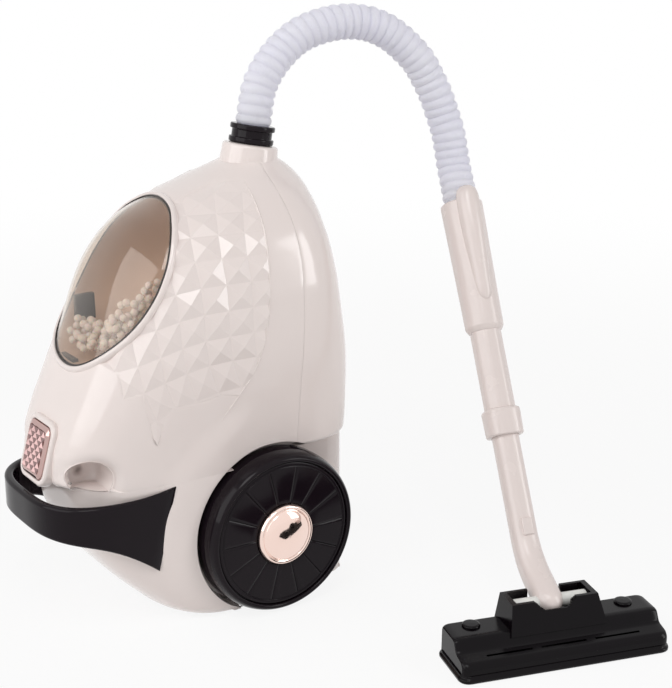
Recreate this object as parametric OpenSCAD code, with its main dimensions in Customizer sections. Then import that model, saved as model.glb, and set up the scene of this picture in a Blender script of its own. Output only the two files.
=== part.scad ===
// Toy canister vacuum cleaner: an egg-shaped canister with a smoked window and two large wheels,
// a ribbed hose from its neck, a telescopic wand and a tilting floor head.
// Millimetres, +Z up. The canister faces -Y and +X is its left side.
// The origin is on the flat underside of the base, below the middle of the wheel axle.

/* [Canister shell] */
// Height of the shell's top edge above the underside
body_h = 232; // [229:1:236]
// Half width of the shell where it is widest
body_half_w = 57; // [56:0.5:59]
// Depth of the front half, from the seam forwards
front_depth = 132; // [130:1:136]
// Depth of the rear half, from the seam backwards
rear_depth = 46; // [45:0.5:48]
// Distance of the seam behind the wheel axle
seam_y = 16; // [15:0.5:17]
// Wall of the shells
wall = 2.4; // [2.2:0.1:2.6]
// Height of the nose's lower edge
nose_z = 82; // [80:1:84]
// Height of the rear shell's lower edge
rear_edge_z = 86; // [85:1:90]
// Radius of the finger scoops in the nose's sides
scoop_r = 10; // [9:0.5:11]
// Distance of each scoop's end wall from the middle plane
scoop_in = 19; // [18.6:0.2:20]
// Distance of the scoop's centre ahead of the axle
scoop_front = 99; // [97:1:101]
// Height of the scoop's centre above the nose's lower edge
scoop_rise = 7; // [6:0.5:8]

/* [Base] */
// Half width of the base tub
base_half_w = 39.6; // [39:0.2:39.8]
// Distance from the axle to the rear of the base
base_rear = 58; // [56:1:60]
// Distance from the axle to the front of the floor plate
base_front = 47; // [45:0.5:47.2]
// Half width of the floor plate
plate_half_w = 38; // [37:0.5:39]
// Corner radius of the tub
base_corner_r = 16; // [14:1:18]
// Floor and wall of the base
base_t = 2.4; // [2.2:0.1:2.8]
// Height of the underside above the ground
ground_gap = 2; // [1.6:0.1:2.4]

/* [Wheels] */
// Wheel radius
wheel_r = 45.5; // [44.5:0.5:46]
// Wheel width
wheel_w = 19; // [18:0.5:20]
// Distance from the middle plane to the wheel's back
wheel_in = 43; // [42.8:0.2:44]
// Radius of the grooved disc
disc_r = 36.5; // [35.5:0.5:37]
// Thickness of the grooved disc
disc_t = 1.6; // [1.4:0.1:1.8]
// Depth of the disc's seat below the tyre's front
disc_seat = 3; // [2.8:0.1:3.4]
// Number of radial grooves
groove_count = 14; // [10:1:18]
// Width of a groove
groove_w = 0.8; // [0.6:0.1:1]
// Depth of a groove
groove_d = 0.6; // [0.4:0.1:0.8]
// Radius of the hub cap
cap_r = 16.5; // [15.5:0.5:17]
// Height of the hub cap's rim
cap_rim_h = 1.6; // [1.4:0.1:2]
// Height of the hub cap's dome above its rim
cap_dome_h = 3.2; // [2.8:0.1:3.6]
// Width of the hub cap's rim
cap_rim_w = 2.6; // [2.2:0.1:3]
// Axle radius
axle_r = 3; // [2.8:0.1:3.2]
// Running clearance of shafts in their bores
run_fit = 0.05; // [0.03:0.01:0.08]
// Clearance of a still piece in its seat
seat_fit = 0.2; // [0.15:0.05:0.3]
// Gap between the wheel and its well
well_gap = 2.6; // [2.2:0.1:3]
// Wall of the wheel well
well_t = 2; // [1.8:0.1:2.2]
// Retaining clip radius
clip_r = 5; // [4.6:0.2:5.2]
// Retaining clip thickness
clip_t = 1; // [0.8:0.1:1.1]

/* [Window] */
// Half width of the window
window_half_w = 40; // [39:0.5:41]
// Half height of the window
window_half_h = 40; // [39:0.5:40.5]
// Height of the window's centre
window_z = 181; // [180:0.5:182]
// Width of the raised rim
rim_w = 4.2; // [3.8:0.1:4.6]
// Height of the raised rim
rim_h = 2.2; // [1.8:0.1:2.6]
// Thickness of the rim's spigot in the window opening
rim_spigot = 1; // [0.8:0.1:1.2]
// Rise of the dome above the shell's surface
dome_rise = 5; // [4.5:0.5:6]
// Wall of the dome
dome_t = 1.8; // [1.6:0.1:2]
// Wall of the bead chamber
tub_t = 1.6; // [1.4:0.1:1.8]
// Distance of the chamber's back ahead of the axle
tub_back = 8; // [7:0.5:9]
// Radius of a polystyrene bead
bead_r = 2.2; // [2:0.1:2.4]
// Number of beads
bead_count = 26; // [10:1:30]

/* [Button] */
// Width of the power button
button_w = 24; // [23:0.5:25]
// Height of the power button
button_h = 28; // [27:0.5:28.5]
// Corner radius of the button
button_corner_r = 4; // [3.5:0.5:5]
// How far the button stands out of its bezel
button_proud = 2.6; // [2.4:0.1:3]
// Button travel
button_travel = 2; // [1.6:0.1:2.2]
// Thickness of the button's cap
button_t = 4; // [3.6:0.1:4.4]
// Clearance around the button
button_gap = 0.3; // [0.25:0.05:0.4]
// Width of the bezel's frame
bezel_w = 3; // [2.8:0.1:3.4]
// How far the bezel stands out of the nose
bezel_proud = 1.4; // [1.2:0.1:1.8]
// Thickness of the bezel's floor
bezel_t = 2; // [1.8:0.1:2.2]
// Depth of the spring's pocket below the bezel's floor
pocket_d = 8; // [7:0.5:9]
// Height of the button's centre
button_z = 101.5; // [101:0.5:102.5]
// Lean of the nose's front face
nose_lean = 16; // [15:0.5:17]
// Stem radius
stem_r = 2.5; // [2.3:0.1:2.7]

/* [Handle] */
// Half width across the handle's ends
handle_half_w = 47.2; // [47:0.1:47.6]
// Distance from the axle forward to the handle's front
handle_front = 133; // [131:1:135]
// Distance from the axle forward to the handle's ends
handle_back = 66; // [64:1:68]
// Thickness of the band
handle_t = 5; // [4.6:0.2:5.4]
// Thickness of the band's flush ends
handle_end_t = 2; // [1.8:0.1:2.2]
// Radius, about the axle, of the round edge of the band's ends
handle_end_r = 69; // [68:0.5:70]
// Height of the band at the front
handle_h = 18; // [17:0.5:19]
// Height of the band at its ends
handle_end_h = 38; // [36:1:40]
// Height of the band's top edge
handle_top_z = 77; // [76:0.5:78]

/* [Neck and hose] */
// Lean of the neck towards the rear
neck_lean = 10; // [9:0.5:11]
// Distance of the neck's foot behind the axle
neck_y = 17.5; // [17:0.5:18]
// Height of the neck collar above the shell's top
collar_h = 12; // [11:0.5:13]
// Depth of the collar below the shell's top
collar_sink = 3.4; // [3:0.2:3.8]
// Outer radius of the neck collar at its top
collar_r = 14.2; // [13.8:0.2:14.6]
// Outer radius of the neck collar at its foot
collar_foot_r = 15.4; // [15:0.2:15.8]
// Radius of the coupler's spigot in the collar
spigot_r = 10.5; // [10.2:0.1:10.6]
// Radius of the coupler's flanges
flange_r = 12; // [11.8:0.1:12.4]
// Radius of the coupler's waist
waist_r = 10.9; // [10.7:0.1:11]
// Height of each flange
flange_h = 2.8; // [2.6:0.1:3]
// Height of the waist
waist_h = 4.2; // [4:0.1:4.6]
// Gap between the coupler's flange and the collar
flange_gap = 0.3; // [0.2:0.05:0.4]
// Outer radius of the hose at its ribs
hose_r = 9.7; // [9.5:0.1:9.8]
// Depth of the grooves between ribs
rib_d = 1.3; // [1.1:0.1:1.5]
// Wall of the hose under the grooves
hose_t = 1; // [0.8:0.1:1.2]
// Number of ribs
rib_count = 45; // [40:1:50]

/* [Wand] */
// Lean of the wand from upright
wand_lean = 32; // [31.5:0.5:32.5]
// Turn of the floor head about the vertical
head_turn = 73; // [72.5:0.5:73.5]
// Distance of the grip's top to the left of the middle plane
grip_x = 44; // [43:0.5:45]
// Distance of the grip's top behind the axle
grip_y = 130; // [129:0.5:131]
// Length of the grip
grip_len = 75; // [74:0.5:76]
// Radius of the grip at its top
grip_r = 12; // [11.8:0.1:12.4]
// Radius of the grip at its foot
grip_foot_r = 10.8; // [10.4:0.1:11]
// Depth of the hose socket in the grip
socket_d = 8; // [7:0.5:9]
// Radius of the tongue on the grip
tongue_r = 6; // [5.6:0.2:6.4]
// Length of the tongue
tongue_len = 58; // [56:1:60]
// How far the tongue reaches past the grip's top
tongue_reach = 7; // [6:0.5:8]
// Outer radius of the upper tube
upper_r = 8.5; // [8.3:0.1:8.7]
// Distance from the grip's top to the upper tube's foot
upper_end = 121; // [120:0.5:122]
// Length of the upper tube inside the grip
upper_in = 25; // [24:0.5:26]
// Outer radius of the wand collar
ring_r = 9.8; // [9.6:0.1:10]
// Length of the wand collar
ring_len = 15; // [14:0.5:16]
// Outer radius of the lower tube
lower_r = 7.2; // [7:0.1:7.4]
// Wall of the lower tube
lower_t = 1.4; // [1.2:0.1:1.6]
// Length of the lower tube held in the upper tube
lower_in = 18; // [17:0.5:19]
// Distance from the grip's top to the bend
bend_at = 201; // [200:0.5:202]
// Length from the bend to the cross pin
elbow_len = 28; // [27:0.5:29]
// Drop of the elbow's short leg below level
elbow_drop = 24; // [23:0.5:25]
// Radius of the elbow's round end
elbow_r = 7.5; // [7.4:0.1:7.6]
// Radius of the ball at the bend
bend_r = 7.5; // [7.4:0.1:7.6]
// Radius of the elbow's short leg
leg_r = 7; // [6.8:0.1:7.1]
// Radius of the cross pin
pin_r = 2.5; // [2.4:0.1:2.6]

/* [Floor head] */
// Length of the floor head
head_len = 117; // [115:1:119]
// Depth of the floor head, front to back
head_depth = 36; // [35:0.5:37]
// Height of the sole
sole_h = 4.5; // [4.2:0.1:4.8]
// Height of the top shell above the sole
head_h = 13.5; // [13:0.5:14.5]
// Inset of the top shell from the sole
head_inset = 1.6; // [1.4:0.1:1.8]
// Wall of the top shell
head_t = 1.8; // [1.6:0.1:2]
// Length of the hinge block
block_len = 48; // [47:0.5:49]
// Height of the hinge block above the top shell
block_h = 12; // [11.5:0.5:12.5]
// Depth of the hinge block at its top
block_top_d = 16; // [15.5:0.5:16.5]
// Width of the gap for the elbow
elbow_gap = 18; // [17.5:0.5:19]
// Clearance around the elbow
elbow_fit = 0.3; // [0.25:0.05:0.4]
// Distance of the pin behind the head's middle
pin_back = 9; // [8.5:0.5:9.5]
// Height of the pin above the ground
pin_z = 25; // [24.8:0.1:25.4]
// Wall of the hinge block
block_t = 3; // [2.8:0.1:3.2]
// Radius of a round cap
stud_r = 4.7; // [4.5:0.1:5]
// Height of a round cap
stud_h = 2; // [1.8:0.1:2.2]
// Distance of a round cap from the head's middle
stud_x = 43; // [42:0.5:44]
// Length of each front slot
slot_len = 25; // [24:0.5:26]
// Pitch of the front slots
slot_pitch = 30; // [29.5:0.5:31]
// Width of a front slot
slot_w = 2; // [1.8:0.1:2.2]

/* [Caster] */
// Distance of the caster's swivel ahead of the axle
caster_front = 27; // [26:0.5:28]
// Radius of the caster's roller
roller_r = 6; // [5.8:0.1:6.2]
// Width of the roller
roller_w = 7; // [6.6:0.2:7.2]
// Distance of the roller behind the swivel
caster_trail = 3; // [2.8:0.1:3.2]
// Radius of the caster's pocket
pocket_r = 12; // [11.6:0.1:12.4]
// Height of the pocket
pocket_h = 14; // [13.5:0.5:15]
// Radius of the swivel stem
swivel_r = 3; // [2.8:0.1:3.2]
// Radius of the roller's pin
roller_pin_r = 1; // [0.9:0.1:1.1]
// Thickness of the fork
fork_t = 1.6; // [1.4:0.1:1.8]

/* [Drive and cells] */
// Radius of the motor
motor_r = 11; // [10.5:0.5:11.5]
// Length of the motor
motor_len = 28; // [27:1:30]
// Distance of the motor's front behind the axle
motor_y = 9; // [8.5:0.5:9.5]
// Radius of the motor shaft
shaft_r = 1; // [0.9:0.1:1.1]
// Radius of the fan
fan_r = 17; // [16:0.5:18]
// Width of the fan
fan_w = 6; // [5.5:0.5:6.5]
// Number of fan blades
blade_count = 6; // [5:1:8]
// Pitch angle of the fan blades
blade_pitch = 35; // [30:1:40]
// Thickness of the motor bracket
bracket_t = 2.4; // [2.2:0.1:2.8]
// Radius of a cell
cell_r = 7; // [6.8:0.1:7.1]
// Length of a cell
cell_len = 50; // [49.5:0.5:50.5]
// Pitch of the cells
cell_pitch = 15; // [14.8:0.1:15.4]
// Distance of the battery door's middle behind the axle
door_y = 35; // [34:0.5:36]
// Length of the battery door
door_len = 66; // [65:0.5:67]
// Depth of the battery door
door_w = 36; // [35:0.5:37]
// Thickness of the battery door
door_t = 1.6; // [1.5:0.1:1.7]
// Radius of a screw's head
screw_head_r = 2.6; // [2.4:0.1:2.8]
// Radius of a screw's shank
screw_r = 1.4; // [1.3:0.1:1.5]
// Length of a screw
screw_len = 10; // [9:0.5:11]
// Radius of a screw boss
boss_r = 4.4; // [4.2:0.1:4.6]

/* [Hidden] */
$fn = 48;

cream = [0.90, 0.86, 0.83];
black = [0.06, 0.05, 0.06];
rose = [0.85, 0.62, 0.55];

// Overrun of every cut
over = 1;
axle_z = wheel_r - ground_gap;
well_r = wheel_r + well_gap;
// Height of the step from the scooped wall to the nose
ledge_rise = 1;
segs = 22;

// Sections of the lower front, as shares: height of nose_z, width of body_half_w, front of front_depth,
// then the outline's exponent and the wall's slant factor
lower_shares = [
    [0, 0.83, 0.515, 4, 1.3],
    [0.05, 0.875, 0.575, 4, 1.25],
    [0.15, 0.895, 0.645, 4, 1.25],
    [0.27, 0.9, 0.72, 4, 1.25],
    [0.42, 0.895, 0.797, 4, 1.15],
    [0.58, 0.885, 0.85, 4, 1],
    [0.78, 0.87, 0.89, 4, 1],
    [1, 0.853, 0.898, 4, 1]
];
// Sections from the nose up, as shares: height from nose_z to body_h, width, front, rear of rear_depth,
// then the outline's exponent and the wall's slant factor
upper_shares = [
    [0, 0.853, 1, 0.985, 3.2, 1],
    [0.107, 0.877, 0.985, 1, 3.2, 1.05],
    [0.207, 0.91, 0.943, 1, 3.1, 1.1],
    [0.307, 0.95, 0.888, 0.985, 3, 1.12],
    [0.407, 0.985, 0.825, 0.95, 2.85, 1.15],
    [0.507, 1, 0.764, 0.9, 2.7, 1.12],
    [0.6, 1, 0.722, 0.855, 2.6, 1.12],
    [0.687, 0.98, 0.68, 0.8, 2.5, 1.15],
    [0.76, 0.93, 0.634, 0.745, 2.4, 1.3],
    [0.82, 0.855, 0.58, 0.69, 2.3, 1.6],
    [0.867, 0.76, 0.522, 0.65, 2.25, 1.9],
    [0.907, 0.65, 0.445, 0.615, 2.2, 2.3],
    [0.94, 0.53, 0.355, 0.58, 2.15, 2.9],
    [0.973, 0.39, 0.235, 0.52, 2.1, 3.6],
    [1, 0.255, 0.095, 0.375, 2, 1]
];
upper_h = body_h - nose_z;
nose_s = upper_shares[0];
lip_s = lower_shares[len(lower_shares) - 1];

// A level: height, half width, front depth, inner front depth, rear depth, exponent, inset of the inside
function lower_level(s) =
    [nose_z * s[0], body_half_w * s[1], front_depth * s[2],
     front_depth * s[2] - wall * s[4], rear_depth, s[3], wall * s[4]];
function upper_level(s) =
    [nose_z + upper_h * s[0], body_half_w * s[1], front_depth * s[2],
     front_depth * s[2] - wall * s[5], rear_depth * s[3], s[4], wall * s[5]];
function nose_level(rise, inner) =
    [nose_z + rise, body_half_w * nose_s[1], front_depth * nose_s[2], inner, rear_depth * nose_s[3],
     nose_s[4], wall];
scooped = front_depth * lip_s[2] - wall;
skirt_levels = [for (s = lower_shares) lower_level(s)];
front_levels = concat(
    [nose_level(0, scooped), nose_level(wall, scooped),
     nose_level(wall + ledge_rise, front_depth * nose_s[2] - wall)],
    [for (i = [1:len(upper_shares) - 1]) upper_level(upper_shares[i])]);
upper_levels = [for (s = upper_shares) upper_level(s)];
rear_levels = concat(
    [concat([rear_edge_z], [for (j = [1:6]) at_level(rear_edge_z, j)])],
    [for (i = [1:len(upper_shares) - 1]) upper_levels[i]]);

function at_level(z, j) = lookup(z, [for (l = upper_levels) [l[0], l[j]]]);
function spow(v, p) = sign(v) * pow(abs(v), p);
function unit(v) = v / norm(v);

// Half of a section outline: side -1 is the front half, +1 the rear half
function half_arc(w, d, n, side) = [
    for (i = [0:segs])
        let (t = 180 * i / segs)
            [-side * w * spow(cos(t), 2 / n), seam_y + side * d * pow(sin(t), 2 / n)]
];
function shell_ring(l, side) =
    let (o = half_arc(l[1], side < 0 ? l[2] : l[4], l[5], side),
         q = half_arc(l[1] - l[6], side < 0 ? l[3] : l[4] - l[6], l[5], side))
        concat([for (p = o) [p[0], p[1], l[0]]],
               [for (i = [segs:-1:0]) [q[i][0], q[i][1], l[0]]]);

// Faces of a stack of closed rings with m points each
function side_faces(levels, m) = [
    for (k = [0:levels - 2], j = [0:m - 1], h = [0, 1])
        let (a = k * m + j, b = k * m + (j + 1) % m)
            h == 0 ? [a, b, b + m] : [a, b + m, a + m]
];
// End faces of a folded ring, whose second half runs back along its first
function fold_cap(start, m, flip) = [
    for (i = [0:m / 2 - 2], h = [0, 1])
        let (a = start + i, b = start + m - 1 - i,
             f = h == 0 ? [a, a + 1, b - 1] : [a, b - 1, b])
            flip ? [f[2], f[1], f[0]] : f
];
function flat(rows) = [for (r = rows) each r];

module shell(levels, side) {
    m = 2 * (segs + 1);
    n = len(levels);
    polyhedron(
        points = flat([for (l = levels) shell_ring(l, side)]),
        faces = concat(side_faces(n, m), fold_cap(0, m, true), fold_cap((n - 1) * m, m, false)));
}

// Height of the front surface over the middle plane, its outward normal, and a point above it
function front_y(x, z) =
    let (w = at_level(z, 1), d = at_level(z, 2), n = at_level(z, 5))
        seam_y - d * pow(max(0, 1 - pow(min(1, abs(x) / w), n)), 1 / n);
function front_normal(x, z) =
    let (gx = (front_y(x + ledge_rise, z) - front_y(x - ledge_rise, z)) / (2 * ledge_rise),
         gz = (front_y(x, z + ledge_rise) - front_y(x, z - ledge_rise)) / (2 * ledge_rise))
        unit([gx, -1, gz]);
function front_point(x, z, rise) = [x, front_y(x, z), z] + rise * front_normal(x, z);
// A point on the window's outline, moved out by grow and up by rise
function window_point(t, grow, rise) =
    front_point((window_half_w + grow) * cos(t), window_z + (window_half_h + grow) * sin(t), rise);
window_segs = 36;

// A ring of equal sections around the window; rows run round the window, points round the section
module window_ring(section) {
    m = len(section);
    pts = [for (a = [0:window_segs - 1], s = section)
               window_point(-360 * a / window_segs, s[0], s[1])];
    faces = [
        for (a = [0:window_segs - 1], j = [0:m - 1], h = [0, 1])
            let (b = (a + 1) % window_segs, i = (j + 1) % m)
                h == 0 ? [a * m + j, b * m + j, b * m + i] : [a * m + j, b * m + i, a * m + i]
    ];
    polyhedron(points = pts, faces = faces);
}

module rounded_plate(w, h, r, t) {
    linear_extrude(t) {
        square([w - 2 * r, h], center = true);
        square([w, h - 2 * r], center = true);
        for (x = [-1, 1], y = [-1, 1])
            translate([x * (w / 2 - r), y * (h / 2 - r)]) circle(r);
    }
}

module both_sides() {
    children();
    mirror([1, 0, 0]) children();
}

// Local frames: the button's face, the neck, the wand and the floor head
nose_y = front_y(0, button_z);
module at_button() {
    translate([0, nose_y, button_z]) rotate([90 - nose_lean, 0, 0]) children();
}
module at_neck() {
    translate([0, neck_y, body_h]) rotate([-neck_lean, 0, 0]) children();
}
head_ahead = [sin(head_turn), -cos(head_turn), 0];
ground_z = -ground_gap;

// Route of the hose, from the coupler's top face to the foot of the grip's socket
hose_route = [
    [0, 21, 254], [0, 23, 264], [-1, 26, 273], [-1, 32, 283], [-1, 41, 292], [0, 51, 299], [2, 62, 303],
    [4, 73, 305], [6, 83, 305], [9, 93, 303], [12, 103, 298], [15, 111, 291], [18, 118, 283],
    [20, 123, 274], [23, 127, 264], [25, 130, 254], [28, 132, 244], [30, 133, 234], [33, 133, 224]
];
wand_axis = [-sin(wand_lean) * head_ahead[0], -sin(wand_lean) * head_ahead[1], cos(wand_lean)];
neck_axis = [0, sin(neck_lean), cos(neck_lean)];
coupler_top = collar_h + flange_gap + 2 * flange_h + waist_h;
hose_start = [0, neck_y, body_h] + coupler_top * neck_axis;
// Length of the straight run of hose above the grip
hose_run = 2 * hose_r;
grip_top = [grip_x, grip_y,
            ground_z + pin_z + bend_at * cos(wand_lean) + elbow_len * sin(elbow_drop)];
hose_end = grip_top - socket_d * wand_axis;
pin_point = grip_top - bend_at * wand_axis
    + elbow_len * (cos(elbow_drop) * head_ahead - [0, 0, sin(elbow_drop)]);
head_point = [pin_point[0] + pin_back * head_ahead[0], pin_point[1] + pin_back * head_ahead[1], ground_z];

// Wand frame: +Z runs up the wand from the grip's top, +Y faces the back, +X runs along the head
module at_wand() {
    translate(grip_top) rotate([0, 0, head_turn]) rotate([-wand_lean, 0, 0]) children();
}
// Floor head frame: +X along the head, -Y to its front, origin on the ground below its middle
module at_head() {
    translate(head_point) rotate([0, 0, head_turn]) children();
}

// Room for the wheels and the cups around them
module well_cut() {
    both_sides() translate([wheel_in - well_t - seat_fit, 0, axle_z]) rotate([0, 90, 0])
        cylinder(r = well_r, h = body_half_w);
}

module front_shell() {
    color(cream) difference() {
        shell(front_levels, -1);
        // window opening
        translate([0, seam_y, window_z]) rotate([90, 0, 0])
            scale([1, window_half_h / window_half_w, 1]) cylinder(r = window_half_w, h = 2 * front_depth);
        well_cut();
        // button bezel
        at_button() translate([0, 0, -bezel_back - seat_fit])
            rounded_plate(button_w + 2 * (button_gap + bezel_w + seat_fit),
                          button_h + 2 * (button_gap + bezel_w + seat_fit),
                          button_corner_r + bezel_w, bezel_back + button_h);
        at_button() translate([0, 0, -pocket_end]) cylinder(r = pocket_out_r + seat_fit, h = pocket_end);
        // finger scoops
        both_sides() translate([scoop_in, -scoop_front, nose_z + scoop_rise]) rotate([0, 90, 0])
            cylinder(r = scoop_r, h = body_half_w);
        // neck
        at_neck() translate([0, 0, -collar_h]) cylinder(r = spigot_r + wall, h = 2 * collar_h);
    }
}

module front_skirt() {
    color(cream) difference() {
        shell(skirt_levels, -1);
        well_cut();
    }
}

module rear_shell() {
    color(cream) difference() {
        shell(rear_levels, 1);
        well_cut();
        screw_places() translate([0, -over, 0]) rotate([-90, 0, 0])
            cylinder(r = screw_head_r + seat_fit, h = 2 * rear_depth);
        at_neck() translate([0, 0, -collar_h]) cylinder(r = spigot_r + wall, h = 2 * collar_h);
    }
}

// Screws that join the shells, near the side walls, as shares of the height above the nose
screw_shares = [0.25, 0.72];
function screw_x(s) = at_level(nose_z + upper_h * s, 1) - wall - boss_r;
module screw_places() {
    for (s = screw_shares, side = [-1, 1])
        translate([side * screw_x(s), seam_y, nose_z + upper_h * s]) children();
}

module screw_posts() {
    color(cream) screw_places() rotate([90, 0, 0]) difference() {
        cylinder(r = boss_r, h = screw_len);
        cylinder(r = screw_r + run_fit, h = screw_len - wall);
    }
}

module screw_tubes() {
    color(cream) screw_places() rotate([-90, 0, 0]) difference() {
        cylinder(r = boss_r, h = screw_len);
        translate([0, 0, wall]) cylinder(r = screw_head_r + seat_fit, h = screw_len);
        translate([0, 0, -over]) cylinder(r = screw_r + run_fit, h = screw_len);
    }
}

module screw(len) {
    cylinder(r = screw_head_r, h = screw_r);
    translate([0, 0, -len]) cylinder(r = screw_r, h = len);
}

module shell_screws() {
    color("silver") screw_places() translate([0, wall, 0]) rotate([-90, 0, 0])
        screw(screw_len - wall - seat_fit);
}

// Outline of the base: the tub behind the seam and the floor plate ahead of it
module tub_outline(inset) {
    r = base_corner_r - inset;
    w = base_half_w - inset;
    back = base_rear - inset;
    front = seam_y + inset + seat_fit;
    translate([-w, front]) square([2 * w, back - front - r]);
    translate([r - w, front]) square([2 * (w - r), back - front]);
    for (x = [-1, 1]) translate([x * (w - r), back - r]) circle(r);
}
module plate_outline() {
    r = base_corner_r;
    w = plate_half_w;
    back = seam_y + base_t;
    translate([-w, r - base_front]) square([2 * w, back + base_front - r]);
    translate([r - w, -base_front]) square([2 * (w - r), back + base_front]);
    for (x = [-1, 1]) translate([x * (w - r), r - base_front]) circle(r);
}
// Half distance between the axle's bearing plates, and their size
bearing_x = 30;
bearing_t = 4;
bearing_r = 9;
cell_z = door_t + seat_fit + cell_r;
box_w = cell_len + 4 * bracket_t;
box_d = cell_pitch + 2 * cell_r + 2 * seat_fit + 2 * base_t;
box_h = cell_z + cell_r;
// The door and its opening reach further on the side of its screw
door_shift = (door_len - box_w) / 2;
door_screw_x = door_shift + door_len / 2 - boss_r;

module base() {
    color(cream) difference() {
        union() {
            difference() {
                linear_extrude(rear_edge_z - seat_fit) tub_outline(0);
                translate([0, 0, base_t]) linear_extrude(rear_edge_z) tub_outline(base_t);
                // the tub is open to the front above the floor
                translate([base_t - base_half_w, seam_y - over, base_t + base_t])
                    cube([2 * (base_half_w - base_t), 2 * base_t + 2 * over, rear_edge_z]);
            }
            linear_extrude(base_t) plate_outline();
            // bearing plates for the axle
            for (x = [-1, 1]) translate([x * bearing_x - bearing_t / 2, 0, 0]) {
                translate([0, -bearing_r, 0]) cube([bearing_t, 2 * bearing_r, axle_z]);
                translate([0, 0, axle_z]) rotate([0, 90, 0]) cylinder(r = bearing_r, h = bearing_t);
            }
            // battery box
            translate([-box_w / 2, door_y - box_d / 2, 0]) cube([box_w, box_d, box_h]);
            translate([door_screw_x, door_y, 0]) cylinder(r = boss_r, h = screw_len + door_t);
            // caster pocket
            translate([0, -caster_front, 0])
                cylinder(r = pocket_r + base_t, h = pocket_h + 2 * base_t);
        }
        translate([-bearing_x - bearing_t, 0, axle_z]) rotate([0, 90, 0])
            cylinder(r = axle_r, h = 2 * (bearing_x + bearing_t));
        // cell space
        translate([base_t - box_w / 2, door_y - box_d / 2 + base_t, -over])
            cube([box_w - 2 * base_t, box_d - 2 * base_t, box_h + 2 * over]);
        // door recess and screw hole
        translate([door_shift - door_len / 2 - seat_fit, door_y - door_w / 2 - seat_fit, -over])
            cube([door_len + 2 * seat_fit, door_w + 2 * seat_fit, door_t + over]);
        translate([door_screw_x, door_y, 0]) cylinder(r = screw_r + run_fit, h = screw_len);
        translate([0, -caster_front, -over]) {
            cylinder(r = pocket_r, h = pocket_h + over);
            cylinder(r = swivel_r + run_fit, h = pocket_h + 2 * base_t + 2 * over);
        }
    }
}

module battery_door() {
    color(cream) translate([door_shift, door_y, 0]) difference() {
        translate([-door_len / 2, -door_w / 2, 0]) cube([door_len, door_w, door_t]);
        translate([door_screw_x - door_shift, 0, -over]) {
            cylinder(r = screw_r + run_fit, h = door_t + 2 * over);
            cylinder(r = screw_head_r + seat_fit, h = over + door_t / 2);
        }
    }
}

module door_screw() {
    color("silver") translate([door_screw_x, door_y, door_t / 2]) mirror([0, 0, 1]) {
        cylinder(r = screw_head_r, h = door_t / 2);
        translate([0, 0, -screw_len + door_t]) cylinder(r = screw_r, h = screw_len - door_t);
    }
}

module cells() {
    color("dimgray") for (y = [-1, 1])
        translate([-cell_len / 2, door_y + y * cell_pitch / 2, cell_z]) rotate([0, 90, 0])
            cylinder(r = cell_r, h = cell_len);
}

module cell_contacts() {
    color("silver") both_sides()
        translate([cell_len / 2 + seat_fit, door_y - cell_pitch / 2 - cell_r, cell_z - cell_r / 2])
            cube([box_w / 2 - base_t - cell_len / 2 - 2 * seat_fit, cell_pitch + 2 * cell_r, cell_r]);
}

// The nose as a solid block, which trims the scoop's liner
nose_levels = [for (i = [0:2]) upper_levels[i]];
module nose_block() {
    m = segs + 1;
    last = (len(nose_levels) - 1) * m;
    polyhedron(
        points = [for (l = nose_levels, p = half_arc(l[1], l[2], l[5], -1)) [p[0], p[1], l[0]]],
        faces = concat(
            side_faces(len(nose_levels), m),
            [for (i = [1:m - 2]) [0, i + 1, i]],
            [for (i = [1:m - 2]) [last, last + i, last + i + 1]]));
}
module finger_scoops() {
    color(cream) both_sides() intersection() {
        nose_block();
        translate([scoop_in - wall, -scoop_front, nose_z + scoop_rise]) rotate([0, 90, 0]) difference() {
            cylinder(r = scoop_r + wall, h = body_half_w);
            translate([0, 0, wall]) cylinder(r = scoop_r, h = body_half_w);
        }
    }
}

// Depth of the well's round wall, up to the inside of the shell
well_d = body_half_w * lower_shares[4][1] - wall - (wheel_in - well_t - seat_fit);
module wheel_wells() {
    color(cream) both_sides() intersection() {
        translate([wheel_in - well_t - seat_fit, 0, axle_z]) rotate([0, 90, 0]) difference() {
            cylinder(r = well_r + well_t, h = well_d);
            translate([0, 0, well_t]) cylinder(r = well_r, h = well_d);
            translate([0, 0, -over]) cylinder(r = axle_r + seat_fit, h = well_d);
        }
        translate([0, -2 * well_r, 0]) cube([2 * body_half_w, 2 * well_r + seam_y, 2 * well_r]);
    }
}

module window_rim() {
    color(cream) window_ring([
        [-rim_spigot - seat_fit, rim_h * 0.75], [(rim_w - rim_spigot) / 2, rim_h],
        [rim_w * 0.8, rim_h * 0.75], [rim_w, run_fit], [-seat_fit, run_fit], [-seat_fit, -wall],
        [-rim_spigot - seat_fit, -wall]
    ]);
}

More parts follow.
